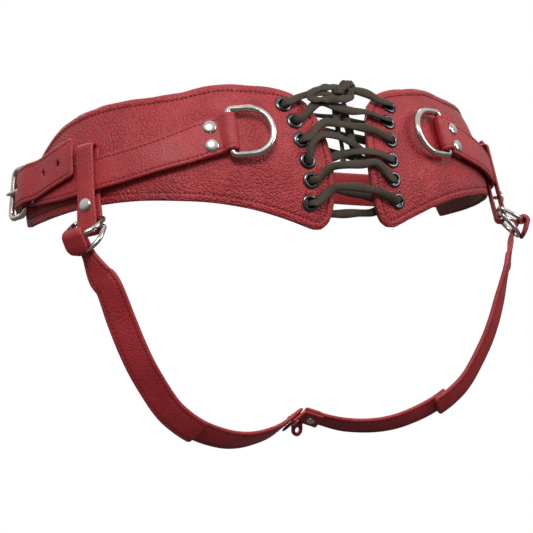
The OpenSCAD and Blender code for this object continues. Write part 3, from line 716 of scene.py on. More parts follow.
# A closed sheet over the panel's plan, with its two faces at these distances outwards.
def panelPart(outer, inner):
    nu, nv = len(panelU), len(panelV)
    s, z = planPoints[:, 0], planPoints[:, 1]
    front = onHip(s, z, outer)
    back = onHip(s, z, inner)
    count = nu * nv
    faces = []
    for i in range(nu - 1):
        for j in range(nv - 1):
            a = i * nv + j
            faces.append((a, a + nv, a + nv + 1, a + 1))
            faces.append((count + a, count + a + 1, count + a + nv + 1, count + a + nv))
    rim = [(i * nv, (i + 1) * nv) for i in range(nu - 1)]
    rim += [((nu - 1) * nv + j, (nu - 1) * nv + j + 1) for j in range(nv - 1)]
    rim += [(i * nv + nv - 1, (i - 1) * nv + nv - 1) for i in range(nu - 1, 0, -1)]
    rim += [(j, j - 1) for j in range(nv - 1, 0, -1)]
    faces += [(b, a, a + count, b + count) for a, b in rim]
    edge = np.clip(1 - planEdge / 1.6, 0, 1)
    return np.concatenate([front, back]), faces, np.concatenate([edge, edge])


def eyeletCutter(side):
    parts = []
    for s, z in eyeletPlaces:
        base, u, v, w = hipFrame(s, z)
        profile = [(panelSet["holeRadius"], -9.0), (panelSet["holeRadius"], 5.0)]
        parts.append(sided(side, lathe(profile, base, w, 28)))
    v, f, e = joined(parts)
    return newPiece("cutter", v, f, redLeather)


def makePanels(side, body, nodes):
    d = planEdge
    s, z = planPoints[:, 0], planPoints[:, 1]
    p = panelSet
    roll = p["roll"] * (1 - np.sqrt(1 - (1 - np.clip(d / p["rollWidth"], 0, 1)) ** 2))
    outer = -roll + p["hemPuff"] * np.exp(-(((d - p["puffAt"]) / p["puffWidth"]) ** 2))
    outer = outer - p["groove"] * np.exp(-(((d - p["hem"]) / p["grooveWidth"]) ** 2))
    outer = outer + p["pad"] * ease((d - p["padFrom"]) / p["padOver"])
    # The leather lies calm round the eyelets and under the side strap.
    nearEye = np.min([np.hypot(s - a, z - b) for a, b in eyeletPlaces], axis=0)
    underStrap = ease((34 - np.abs(z - 8)) / 20) * ease((s - 80) / 20)
    calm = ease((nearEye - 4.5) / 5) * (1 - 0.7 * underStrap)
    wave = p["wave"] * softWave(s, z, 1.3 if side == "right" else 4.1)
    outer = outer * (0.25 + 0.75 * calm) + wave * ease(d / p["waveFrom"]) * calm
    outer = np.minimum(outer, 0.1 + 0.6 * (1 - underStrap))
    inner = np.full_like(d, -sizes["leather"])
    v, f, e = sided(side, panelPart(outer, inner))
    panel = newPiece("panel_" + side + "_hide", v, f, redLeather, e)
    cutWith(panel, eyeletCutter(side))
    settle(panel, body, nodes[:1])
    rounded = p["liningRound"] * np.exp(-((d / p["liningEdge"]) ** 2))
    liningOut = np.full_like(d, -sizes["leather"] - sizes["glue"]) - rounded
    liningInner = np.full_like(d, liningIn) + rounded
    v, f, e = sided(side, panelPart(liningOut, liningInner))
    lining = newPiece("lining_" + side + "_hide", v, f, liningLeather, e)
    cutWith(lining, eyeletCutter(side))
    settle(lining, body, nodes[1:])


forSides(makePanels, "belt", "panel_*", "lining_*")


# The stitches follow the outline, one hem in from the edge.
def hemLine(side):
    rim = np.concatenate([
        evenly(bottomEdge, np.linspace(0, 1, 400)),
        evenly(endEdge, np.linspace(0, 1, 60))[1:],
        evenly(topEdge, np.linspace(0, 1, 400))[::-1][1:],
        evenly(laceEdge, np.linspace(0, 1, 160))[::-1][1:-1],
    ])
    t = unit(np.roll(rim, -2, 0) - np.roll(rim, 2, 0))
    inward = np.stack([-t[:, 1], t[:, 0]], -1)
    line = rim + inward * panelSet["hem"]
    gap = np.min(np.linalg.norm(line[:, None] - rim[None], axis=2), axis=1)
    line = line[gap > panelSet["hem"] - 0.15]
    line = np.concatenate([line, line[:1]])
    return sidedPoints(side, onHip(line[:, 0], line[:, 1], 0.12))


for side in ("right", "left"):
    stitchLines.setdefault("belt", []).append(hemLine(side))
print("panels ready")


# Side straps, from the fold round the D-ring to the fold round the buckle's heel bar.
strapSet = {
    "endWidth": 25.0, "width": 22.0, "ringS": 82.0, "barS": 246.0, "slotWidth": 5.0, "hangerS": 175.0,
    "hangerWidth": 13.5, "hangerLift": 1.0, "liftFlat": 3.0, "liftFade": 14.0,
    "foldSteps": 12, "wrapSteps": 15, "runSteps": 110,
}
ringFold = sizes["dRingWire"] / 2 + sizes["running"]
ringOut = foldIn + sizes["strap"] + ringFold
barFold = sizes["frameWire"] / 2 + sizes["running"]
barOut = foldIn + sizes["strap"] + barFold
strapRivetS = strapSet["ringS"] + ringFold + 10
buckleRivetS = strapSet["barS"] - 14
strapLine = [
    (60, 14.6), (82, 14.6), (96, 12.8), (115, 9), (137, 5.8), (160, 4), (180, 3.8), (200, 5.4), (222, 9),
    (244, 14.6), (270, 18.6),
]
strapCurve = evenly(strapLine, np.linspace(0, 1, 300))


def strapZ(s):
    return np.interp(s, strapCurve[:, 0], strapCurve[:, 1])


def sideStrapWidth(s):
    return strapSet["endWidth"] + (strapSet["width"] - strapSet["endWidth"]) * ease((s - 100) / 34)


def localFrame(s, z, out):
    base, u, v, w = hipFrame(s, z)
    return base + w * out, u, v, w


ringFrame = localFrame(strapSet["ringS"], strapZ(strapSet["ringS"]), ringOut)
barFrame = localFrame(strapSet["barS"], strapZ(strapSet["barS"]), barOut)


def arcPoints(origin, a, b, radius, start, end, count):
    angles = np.radians(np.linspace(start, end, count))
    return [origin + (a * math.cos(q) + b * math.sin(q)) * radius for q in angles]


def makeSideStrap(side, body, nodes):
    t = sizes["strap"]
    half = t / 2
    ringS, barS = strapSet["ringS"], strapSet["barS"]
    foldSteps, wrapSteps, runSteps = strapSet["foldSteps"], strapSet["wrapSteps"], strapSet["runSteps"]
    o, u, v, w = ringFrame
    path, up = [], []
    for s in np.linspace(strapRivetS + 9, ringS + 0.8, foldSteps):
        path.append(onHip(s, strapZ(s), foldIn + half))
        up.append(hipFrame(s, strapZ(s))[2])
    for p in arcPoints(o, u, w, ringFold + half, -90, -270, wrapSteps):
        path.append(p)
        up.append(v)
    ringRise = ringOut + ringFold - strapIn
    barRise = barOut + barFold - strapIn
    for s in np.linspace(ringS + 0.8, barS - 0.6, runSteps):
        rise = ringRise * (1 - ease((s - ringS) / 7.5)) + barRise * ease((s - barS + 9) / 9)
        away = abs(s - strapSet["hangerS"]) - strapSet["hangerWidth"] / 2 - strapSet["liftFlat"]
        rise = rise + strapSet["hangerLift"] * (1 - ease(away / strapSet["liftFade"]))
        path.append(onHip(s, strapZ(s), strapIn + rise + half))
        up.append(hipFrame(s, strapZ(s))[2])
    o, u, v, w = barFrame
    for p in arcPoints(o, u, w, barFold + half, 90, -90, wrapSteps):
        path.append(p)
        up.append(v)
    for s in np.linspace(barS - 0.8, buckleRivetS - 8, foldSteps):
        path.append(onHip(s, strapZ(s), foldIn + half))
        up.append(hipFrame(s, strapZ(s))[2])
    path, up = np.array(path), np.array(up)
    ends = foldSteps + wrapSteps
    sAlong = np.concatenate([np.full(ends, ringS), np.linspace(ringS, barS, runSteps), np.full(ends, barS)])
    widths = sideStrapWidth(sAlong)
    part, strap = strapParts(path, up, widths, t)
    obj = newPiece("sideStrap_" + side, *sided(side, part)[:2], strapLeather, part[2])
    halfSlot = strapSet["slotWidth"] / 2
    slot = sided(side, boxPart(barFrame, (-5.2, 20), (-halfSlot, halfSlot), (-12, 20)))
    cutWith(obj, newPiece("cutter", slot[0], slot[1], strapLeather))
    settle(obj, body, nodes)
    addStitches("belt", side, strap, widths, t, ends + 3, ends + runSteps - 3)


def boxPart(frameAt, xs, ys, zs):
    o, u, v, w = frameAt
    verts = [o + u * x + v * y + w * z for x in xs for y in ys for z in zs]
    faces = [(0, 1, 3, 2), (4, 6, 7, 5), (0, 4, 5, 1), (2, 3, 7, 6), (0, 2, 6, 4), (1, 5, 7, 3)]
    return verts, faces, None


forSides(makeSideStrap, "belt", "side_strap_*")
print("side straps ready")


# Domed rivets.
rivetSet = {"gap": 12.0, "ringCap": 9.0, "buckleCap": 7.0, "lowDome": 1.2, "under": 0.3, "over": 0.25}


def rivetParts(frameAt, low, high, capD, capH=1.6, burr=2.6):
    o, u, v, w = frameAt
    r = capD / 2
    dome = [(r * 0.9, high - 0.02), (r, high + 0.12), (r * 0.985, high + 0.38)]
    crown = np.radians([25, 42, 58, 72, 83, 90])
    dome += [(r * math.cos(a), high + 0.38 + (capH - 0.38) * math.sin(a)) for a in crown]
    under = [(0.0, low - 0.7), (burr * 0.5, low - 0.75), (burr, low - 0.5), (burr, low)]
    under += [(1.5, low), (1.5, high - 0.02)]
    return lathe(under + dome, o, w, 36)


def rivetsAt(side, places, low, high, capD, capH=1.6):
    return [sided(side, rivetParts(localFrame(s, z, 0), low, high, capD, capH)) for s, z in places]


def makeRivets(side, body, nodes):
    gap = rivetSet["gap"] / 2
    low = liningIn - rivetSet["under"]
    high = strapOut + rivetSet["over"]
    pairs = [(strapRivetS, strapZ(strapRivetS) + k * gap) for k in (-1, 1)]
    parts = rivetsAt(side, pairs, low, high, rivetSet["ringCap"])
    finishPiece("strapRivets_" + side, parts, nickel, body, nodes[:1])
    pairs = [(buckleRivetS, strapZ(buckleRivetS) + k * gap) for k in (-1, 1)]
    parts = rivetsAt(side, pairs, low, high, rivetSet["buckleCap"], rivetSet["lowDome"])
    finishPiece("buckleRivets_" + side, parts, nickel, body, nodes[1:])


forSides(makeRivets, "belt", "strap_rivets_*", "buckle_rivets_*")

# Eyelets: a rolled flange over a dark barrel, and a washer with a curled rim behind the lining.
eyeletSet = {"hole": 3.0, "flange": 5.6, "seat": 0.35, "sides": 36}


def makeEyelets(side, body, nodes):
    hole, flange = eyeletSet["hole"], eyeletSet["flange"]
    low, high = liningIn - 0.95, eyeletSet["seat"]
    front = [(hole, low - 0.5), (hole, high - 0.2), (hole + 0.1, high + 0.45), (hole + 0.5, high + 0.85)]
    front += [(hole + 1.0, high + 1.0), (hole + 1.6, high + 0.85), (flange - 0.3, high + 0.45)]
    front += [(flange, high + 0.1), (flange - 0.1, high - 0.12), (hole + 0.42, high - 0.12)]
    front += [(hole + 0.4, low), (hole + 0.9, low)]
    front += [(hole + 1.1, low - 0.3), (hole + 0.7, low - 0.6)]
    back = [(hole + 0.45, low + 0.1), (flange, low + 0.1), (flange + 0.05, low + 0.35)]
    back += [(flange - 0.2, low + 0.6), (hole + 0.45, low + 0.6)]
    fronts, backs = [], []
    for s, z in eyeletPlaces:
        o, u, v, w = localFrame(s, z, 0)
        fronts.append(sided(side, ringLathe(front, o, w)))
        backs.append(sided(side, ringLathe(back, o, w)))
    finishPiece("eyelets_" + side + "_metal", fronts, gunmetal, body, nodes[:1])
    finishPiece("eyeletWashers_" + side, backs, gunmetal, body, nodes[1:])


# A turned ring, whose profile is a closed loop.
def ringLathe(profile, origin, axis):
    rings = [[origin + axis * h + q * r for r, h in profile] for q in spokes(axis, eyeletSet["sides"])]
    verts, faces = loft(rings, True)
    return verts, faces, None


forSides(makeEyelets, "belt", "eyelets_*", "eyelet_washers_*")
print("rivets and eyelets ready")


# Round-wire rings in the shape of a D: the bar lies along x at y = 0, and the arc at y = side + half.
def dPath(half, straight, corner):
    inner = half - corner
    bend = np.radians([15, 30, 45, 60, 75, 90])
    pts = [(x, 0.0) for x in np.linspace(-inner, inner, 14)]
    pts += [(inner + corner * math.sin(a), corner - corner * math.cos(a)) for a in bend]
    pts += [(half, y) for y in np.linspace(corner, straight, 6)[1:]]
    pts += [(half * math.cos(a), straight + half * math.sin(a)) for a in np.linspace(0, math.pi, 40)[1:-1]]
    pts += [(-half, y) for y in np.linspace(straight, corner, 6)]
    pts += [(-inner - corner * math.cos(a), corner - corner * math.sin(a)) for a in bend[:-1]]
    return pts


def wirePiece(name, side, origin, xDir, yDir, path, wire, body, nodes):
    points = [origin + xDir * x + yDir * y for x, y in path]
    part = sided(side, tubeParts(points, wire / 2, 18, np.cross(xDir, yDir), closed=True))
    return finishPiece(name, [part], nickel, body, nodes)


dRingSet = {"room": 1.0, "straight": 12.0, "bend": 0.8}


def makeDRing(side, body, nodes):
    o, u, v, w = ringFrame
    half = strapSet["endWidth"] / 2 + dRingSet["room"] + sizes["dRingWire"] / 2
    path = dPath(half, dRingSet["straight"], sizes["dRingWire"] / 2 + dRingSet["bend"])
    wirePiece("dRing_" + side, side, o, v, -u, path, sizes["dRingWire"], body, nodes)


forSides(makeDRing, "d_ring_*", "d_ring_*")

# Buckles.
buckleSet = {"tilt": 11.0, "half": 17.0, "corner": 5.0, "reach": 19.0, "over": 1.5, "gap": 0.3}


def makeBuckle(side, body, nodes):
    o, u, v, w = barFrame
    a = math.radians(buckleSet["tilt"])
    reach = u * math.cos(a) + w * math.sin(a)
    c, h, r = buckleSet["corner"], buckleSet["half"], buckleSet["reach"]
    corners = [(c, h - c, 90), (r - c, h - c, 0), (r - c, c - h, -90), (c, c - h, -180)]
    path = []
    for x, y, start in corners:
        bend = np.radians(np.linspace(start + 90, start, 9))
        path += [(x + c * math.cos(q), y + c * math.sin(q)) for q in bend]
    dense = []
    for k, p in enumerate(path):
        q = path[(k + 1) % len(path)]
        gap = math.hypot(q[0] - p[0], q[1] - p[1])
        steps = max(1, int(gap / 2.0))
        dense += [(p[0] + (q[0] - p[0]) * i / steps, p[1] + (q[1] - p[1]) * i / steps) for i in range(steps)]
    wirePiece("buckleFrame_" + side, side, o, reach, v, dense, sizes["frameWire"], body, nodes)


forSides(makeBuckle, "buckle_*", "buckle_frame_*")


def makeTongue(side, body, nodes):
    o, u, v, w = barFrame
    wire = sizes["tongueWire"]
    turn = barFold + wire / 2
    a = math.radians(buckleSet["tilt"])
    rise = buckleSet["reach"] * math.sin(a) + sizes["frameWire"] / 2 + buckleSet["gap"] + wire / 2
    runOut = buckleSet["reach"] * math.cos(a) + buckleSet["over"]
    angle = math.atan2(rise, runOut) - math.asin(turn / math.hypot(rise, runOut))
    length = math.sqrt(rise**2 + runOut**2 - turn**2)
    along = u * math.cos(angle) + w * math.sin(angle)
    out = -u * math.sin(angle) + w * math.cos(angle)
    path = arcPoints(o, along, out, turn, 425, 90, 26)  # most of a turn round the heel bar
    path += [o + out * turn + along * x for x in np.linspace(1, length, 12)]
    radii = [wire / 2] * (len(path) - 3) + [wire / 2 * 0.96, wire / 2 * 0.85, wire / 2 * 0.62]
    part = sided(side, tubeParts(path, radii, 14, v))
    finishPiece("buckleTongue_" + side, [part], nickel, body, nodes)


forSides(makeTongue, "tongue_*", "buckle_tongue_*")
print("rings and buckles ready")

# The front strap: its two punched ends pass through the buckles and lie on the side straps.
frontSet = {
    "width": 27.0, "rise": 44.0, "tipRise": 2.5, "gap": 0.5, "clear": -2.6, "tip": 3.5, "hole": 2.0,
    "tipHoles": (14.0, 30.0), "farHoles": (38.0, 54.0), "slotEnd": 11.0, "slotRadius": 2.0,
    "frameGap": 0.3, "frameSag": 0.65, "fineTo": 300.0,
}
tipS = strapSet["hangerS"] + strapSet["hangerWidth"] / 2 + 1.6
overBar = barOut + barFold + sizes["strap"] + 0.6


# How far out the front strap lies: over the side strap and the heel bar, then under the frame's far bar.
def frontOutLine():
    bar, lift = strapSet["barS"], strapSet["hangerLift"]
    gap, clear = frontSet["gap"], frontSet["clear"]
    farBar = barOut + buckleSet["reach"] * math.sin(math.radians(buckleSet["tilt"]))
    underFrame = farBar - sizes["frameWire"] / 2 - frontSet["frameGap"]
    underFrame = underFrame - sizes["frontStrap"] - frontSet["frameSag"]
    return evenly([
        (tipS, strapOut + lift + gap), (tipS + 14, strapOut + 0.7 * lift + gap),
        (bar - 24, strapOut + 0.2 + gap), (bar - 12, overBar - 0.6), (bar - 2, overBar),
        (bar + 4, overBar - 0.8), (bar + 19, underFrame),
        (bar + 35, 0.8), (bar + 53, clear), (halfRound, clear),
    ], np.linspace(0, 1, 300))


frontOuts = frontOutLine()


def frontZ(s):
    start = strapSet["barS"] + 24
    turn = 90 * np.maximum(s - start, 0) / (halfRound - start)
    lift = frontSet["rise"] * np.sin(np.radians(turn)) + frontSet["tipRise"] * (1 - ease((s - tipS) / 40))
    lift = lift + hip["drop"] * np.clip(s - strapSet["barS"], 0, 24)
    return strapZ(strapSet["barS"]) + lift


def makeFrontStrap():
    t = sizes["frontStrap"]
    tip, fineTo, bar = frontSet["tip"], frontSet["fineTo"], strapSet["barS"]
    s = np.concatenate([
        tipS + tip * (1 - np.cos(np.linspace(0, math.pi / 2, 9)))[:-1],
        np.linspace(tipS + tip, fineTo, 110)[:-1],
        np.linspace(fineTo, halfRound, 80),
    ])
    out = np.interp(s, frontOuts[:, 0], frontOuts[:, 1]) + t / 2
    tipCurl = 1.2 * (1 - ease((s - tipS) / 14))
    half = onHip(s, frontZ(s), out + tipCurl)
    up = hipFrame(s, frontZ(s))[2]
    path = np.concatenate([half, mirrored(half)[::-1][1:]])
    ups = np.concatenate([up, mirrored(up)[::-1][1:]])
    widths = np.full(len(path), frontSet["width"])
    part, strap = strapParts(path, ups, widths, t, tipStart=tip, tipEnd=tip)
    obj = newPiece("frontStrap", part[0], part[1], strapLeather, part[2])
    cutters = []
    places = [tipS + d for d in frontSet["tipHoles"]] + [bar + d for d in frontSet["farHoles"]]
    r = frontSet["slotRadius"]
    for side in ("right", "left"):
        for place in places:
            o, u, v, w = localFrame(place, frontZ(place), -6)
            cutters.append(sided(side, lathe([(frontSet["hole"], 0), (frontSet["hole"], 30)], o, w, 20)))
        o, u, v, w = barFrame
        ring = [(-r * math.cos(q), r * math.sin(q)) for q in np.radians(np.linspace(-90, 90, 9))]
        farEnd = np.radians(np.linspace(90, -90, 9))
        ring += [(frontSet["slotEnd"] + r * math.cos(q), r * math.sin(q)) for q in farEnd]
        rings = [[o + u * x + v * y + w * z for x, y in ring] for z in (-12, 18)]
        vv, ff = loft(rings)
        cutters.append(sided(side, (vv, ff, None)))
    v1, f1, e1 = joined(cutters)
    cutWith(obj, newPiece("cutter", v1, f1, strapLeather))
    settle(obj, "belt", ["front_strap"])
    addStitches("belt", "right", strap, widths, t, 10, len(path) - 10, 2.9)


makeFrontStrap()
print("front strap ready")

# Hanger loops, their rivets and the adjuster rings.
hangerSet = {
    "z": 4.0, "bar1": -29.5, "angle1": 50.0, "angle2": 30.0, "rest": 0.3, "rivetUp": 9.5, "rivetCap": 9.0,
    "flare": 1.6, "waist": 0.6,
}
slotWidth = max(sizes["ringWire"] + 0.5, sizes["strap"] + strapSet["hangerLift"] + 0.75)
slotMid = hangerSet["rest"] + sizes["hanger"] + slotWidth / 2
hangerFrame = localFrame(strapSet["hangerS"], hangerSet["z"], slotMid)
bar2 = hangerSet["bar1"] - sizes["ringWire"] / math.sin(math.radians(hangerSet["angle1"])) - 0.5
slotTop = strapSet["width"] / 2 + 6
slotLow = bar2 - sizes["ringWire"] / 2 - 1.5 + slotWidth / 2


def makeHanger(side, body, nodes):
    o, u, v, w = hangerFrame
    t = sizes["hanger"]
    r = slotWidth / 2 + t / 2
    path = arcPoints(o + v * slotTop, w, v, r, 0, 180, 15)
    path += [o - w * r + v * y for y in np.linspace(slotTop, slotLow, 26)[1:-1]]
    path += arcPoints(o + v * slotLow, w, v, r, 180, 360, 15)
    path += [o + w * r + v * y for y in np.linspace(slotLow, slotTop, 26)[1:-1]]
    path = np.array(path)[::-1]
    up = np.dot(path - o, v)
    widths = strapSet["hangerWidth"] + hangerSet["flare"] * ease((-12 - up) / 12)
    widths = widths - hangerSet["waist"] * np.exp(-(((up + 20) / 5) ** 2))
    ups = np.repeat(u[None], len(path), 0)
    part = strapParts(path, ups, widths, t, closed=True, inset=1.9)[0]
    obj = newPiece("hanger_" + side + "_loop", *sided(side, part)[:2], strapLeather, part[2])
    settle(obj, body, nodes[:1])
    rivetAt = (o + v * (hangerSet["bar1"] + hangerSet["rivetUp"]), u, v, w)
    low = 0.8 - slotWidth / 2 - t
    high = slotWidth / 2 + t + 0.2
    rivet = rivetParts(rivetAt, low, high, hangerSet["rivetCap"], burr=1.5)
    finishPiece("hangerRivet_" + side, [sided(side, rivet)], nickel, body, nodes[1:])


forSides(makeHanger, "hanger_*", "hanger_*", "hanger_rivet_*")
ringHalf = 10 + sizes["ringWire"] / 2
ringStraight = 8.0


def makeAdjuster(side, body, nodes, barY, angle, name):
    o, u, v, w = hangerFrame
    a = math.radians(angle)
    path = dPath(ringHalf, ringStraight, sizes["ringWire"] / 2 + 1)
    hang = -v * math.cos(a) + w * math.sin(a)
    wirePiece(name + side, side, o + v * barY, u, hang, path, sizes["ringWire"], body, nodes)


def makeUpperRing(side, body, nodes):
    makeAdjuster(side, body, nodes, hangerSet["bar1"], hangerSet["angle1"], "upperRing_")


def makeLowerRing(side, body, nodes):
    makeAdjuster(side, body, nodes, bar2, hangerSet["angle2"], "lowerRing_")


forSides(makeUpperRing, "leg_harness", "upper_ring_*")
forSides(makeLowerRing, "adjuster_*", "lower_ring_*")
print("hangers ready")

# Leg straps.
legSet = {
    "width": 19.0, "thick": 3.0, "gather": 10.0, "endWidth": 16.0, "wrapNarrow": 4.0, "wireGap": 0.3,
    "lowerWidth": 16.5, "lowerThick": 2.6, "lowerInset": 2.4,
}


# A point by the upper ring, measured from its bar in the hanger's frame.
def nearRing(x, y, out):
    o, u, v, w = hangerFrame
    return o + u * x + v * (hangerSet["bar1"] + y) + w * out


def spread(points, fine):
    return curveAt(points, np.arange((len(points) - 1) * fine + 1) / fine)


# The far end of a ring that hangs at this angle from its bar.
def wireArc(angle, barY):
    o, u, v, w = hangerFrame
    a = math.radians(angle)
    reach = ringStraight + ringHalf
    return o + v * (barY - math.cos(a) * reach) + w * math.sin(a) * reach


def makeLegUpper(side, body, nodes):
    o, u, v, w = hangerFrame
    t = legSet["thick"]
    arc = wireArc(hangerSet["angle1"], hangerSet["bar1"])
    line = [
        nearRing(0, -11, 12.4), nearRing(-0.5, -21, 4.5), nearRing(-2.4, -28, 1.8), nearRing(-5, -36, -1.5),
        (155, -82, -74), (148, -79, -94), (141, -76, -112), (133, -72.5, -128), (119, -67, -149),
        (107, -63, -160), (94, -58.5, -168),
    ]
    face = [
        0.8 * w - 0.6 * v, 0.8 * w - 0.6 * v, (0.86, -0.5, -0.2), (0.82, -0.56, 0), (0.78, -0.62, 0),
        (0.64, -0.77, -0.05), (0.58, -0.8, -0.1), (0.55, -0.81, -0.2), (0.48, -0.8, -0.35),
        (0.4, -0.79, -0.46), (0.32, -0.77, -0.54),
    ]
    fine = 12
    mid = spread(line, fine)
    faces = unit(spread(face, fine))
    count = len(mid)
    step = np.arange(count) * 3 / fine
    widths = legSet["gather"] + (legSet["width"] - legSet["gather"]) * ease((step - 2) / 9)
    dirs = tangents(mid)
    sides = -unit(np.cross(dirs, faces))
    out0 = np.cross(dirs[0], sides[0])
    fold = sizes["ringWire"] / 2 + legSet["wireGap"] + t / 2
    start = arc - out0 * fold
    shift = start - mid[0]
    fade = np.clip(1 - np.arange(count) / (fine * 1.4), 0, 1)[:, None] ** 2
    mid = mid + shift * fade
    dirs = tangents(mid)
    out0 = unit(np.cross(dirs[0], sides[0]))
    bend = np.radians(np.linspace(188, 12, 16))
    wrap = [arc + (-out0 * math.cos(q) - dirs[0] * math.sin(q)) * fold for q in bend]
    curl = ((11.5, -0.1), (9.6, 0.3), (7.7, 0.5), (5.8, 0.6), (3.9, 0.5), (2, 0.3))
    tail = [wrap[0] + dirs[0] * d + out0 * lift for d, lift in curl]
    path = np.concatenate([tail, wrap, mid[1:]])
    ups = np.concatenate([np.repeat(sides[:1], len(tail) + len(wrap), 0), sides[1:]])
    narrowing = legSet["endWidth"] - legSet["wrapNarrow"] * ease(np.linspace(0, 1, len(wrap)))
    head = np.concatenate([np.full(len(tail), legSet["endWidth"]), narrowing])
    allWidths = np.concatenate([head, widths[1:]])
    part, strap = strapParts(path, ups, allWidths, t, tipStart=7, tipEnd=3)
    finishPiece("legUpper_" + side, [sided(side, part)], strapLeather, body, nodes)
    addStitches(body, side, strap, allWidths, t, len(tail) + len(wrap) + 14, len(path) - 2)


forSides(makeLegUpper, "leg_harness", "leg_upper_*")

crotchSet = {
    "y": -27.0, "z": -161.0, "patch": 2.0, "patchGap": 0.55, "patchHalf": 14.0, "tab": 9.0, "tabLength": 6.0,
    "tabTurn": -76.0, "tabSeat": 5.6, "hole": 2.0, "rivetX": 8.0, "rivetCap": 7.0, "rivetDome": 1.2,
}
jointFace = (0, -0.36, -0.93)


# The two leg straps meet in a soft V, this far from the middle.
def jointAt(x):
    f = math.sqrt(x * x + 9) - 3
    return np.array([x, crotchSet["y"] - 0.3 * f, crotchSet["z"] - 0.5 * f])


def makeLegLower(side, body, nodes):
    line = [
        (103, -59.2, -160.2), (93, -55.8, -166), (80, -51.5, -171), (66, -47, -174.5), (52, -42.5, -175.5),
        (38, -38, -174.2), (26, -34.6, -171.5),
    ]
    face = [
        (0.38, -0.78, -0.48), (0.32, -0.77, -0.54), (0.22, -0.73, -0.65), (0.14, -0.66, -0.74),
        (0.07, -0.57, -0.82), (0.02, -0.49, -0.87), (0, -0.43, -0.9),
    ]
    joint = [14.5, 9.5, 5, 2]
    mid = spread(line + [tuple(jointAt(x)) for x in joint], 10)
    faces = unit(spread(face + [jointFace] * len(joint), 10))
    sides = -unit(np.cross(tangents(mid), faces))
    widths = np.full(len(mid), legSet["lowerWidth"])
    part, strap = strapParts(mid, sides, widths, legSet["lowerThick"], inset=legSet["lowerInset"])
    finishPiece("legLower_" + side, [sided(side, part)], strapLeather, body, nodes)
    addStitches(body, side, strap, widths, legSet["lowerThick"], 12, len(mid) - 18, legSet["lowerInset"])


forSides(makeLegLower, "leg_harness", "leg_lower_*")


# The patch under the joint, its punched tab and its two rivets.
def makePatch():
    shift = legSet["lowerThick"] / 2 + crotchSet["patch"] / 2 + crotchSet["patchGap"]
    xs = np.linspace(-crotchSet["patchHalf"], crotchSet["patchHalf"], 33)
    mid = np.array([jointAt(abs(x)) * [math.copysign(1, x), 1, 1] for x in xs])
    dirs = tangents(mid)
    sides = -unit(np.cross(dirs, np.repeat([jointFace], len(xs), 0)))
    outs = np.cross(dirs, sides)
    mid = mid + outs * shift
    widths = np.full(len(xs), legSet["lowerWidth"] + 1)
    part = strapParts(mid, sides, widths, crotchSet["patch"], inset=1.9)[0]
    start = jointAt(0) + np.array([0, crotchSet["tabSeat"], -crotchSet["tabSeat"]])
    a = math.radians(crotchSet["tabTurn"])
    down = np.array([0, math.cos(a), math.sin(a)])
    tipRound = crotchSet["tab"] / 2
    path = np.array([start + down * d for d in np.linspace(0.2, crotchSet["tabLength"] + tipRound, 24)])
    ups = np.repeat([[1.0, 0, 0]], len(path), 0)
    tabWidths = np.full(len(path), crotchSet["tab"])
    tabPart = strapParts(path, ups, tabWidths, crotchSet["patch"], inset=1.7, tipEnd=tipRound)[0]
    tab = newPiece("tab", tabPart[0], tabPart[1], strapLeather, tabPart[2])
    hole = lathe([(crotchSet["hole"], -5), (crotchSet["hole"], 5)], start + down * crotchSet["tabLength"],
                 np.array([0, -math.sin(a), math.cos(a)]), 24)
    cutWith(tab, newPiece("cutter", hole[0], hole[1], strapLeather))
    patch = newPiece("crotchPatch", part[0], part[1], strapLeather, part[2])
    bm = bmesh.new()
    bm.from_mesh(patch.data)
    bm.from_mesh(tab.data)
    bm.to_mesh(patch.data)
    bm.free()
    bpy.data.objects.remove(tab)
    smoothFaces(patch)
    settle(patch, "leg_harness", ["crotch_patch"])
    x = crotchSet["rivetX"]
    along = unit(jointAt(x - 1) - jointAt(x + 1))
    across = unit(np.cross(along, np.array(jointFace)))
    out = np.cross(across, along)
    low = -legSet["lowerThick"] / 2 - 0.1
    place = (jointAt(x), along, across, out)
    rivet = rivetParts(place, low, shift + 1.25, crotchSet["rivetCap"], crotchSet["rivetDome"])
    finishPiece("crotchRivets", [rivet, flip(rivet)], nickel, "leg_harness", ["crotch_rivets"])


makePatch()
print("leg straps ready")

# The lace: a soft flat leather cord. Points are s, z and out; it turns a little as it goes.
laceSet = {"width": 5.5, "flat": 0.42, "knotZ": 40.0, "sides": 12, "seed": 3}


def eye(i, side):
    return side * eyeletPlaces[i][0], eyeletPlaces[i][1]


# The lace through one eyelet, from the front of the gap to behind it, or the other way.
def lacePass(i, side, inward):
    s, z = eye(i, side)
    points = [
        (s - side * 4.2, z + 0.4, 3.6), (s - side * 1.6, z + 0.1, 3.3), (s, z, 1.2), (s, z, -2.5),
        (s, z, -5.4), (s - side * 2.4, z, -7.4),
    ]
    return points if inward else points[::-1]


# A strand across the gap from the right to the left eyelet of a row, arched up by these heights.
def frontRun(i, bow):
    z = eyeletPlaces[i][1]
    return [(18, z + bow[0], 3.4), (6, z + bow[1], 3.1), (-6, z + bow[2], 3.1), (-18, z + bow[3], 3.6)]


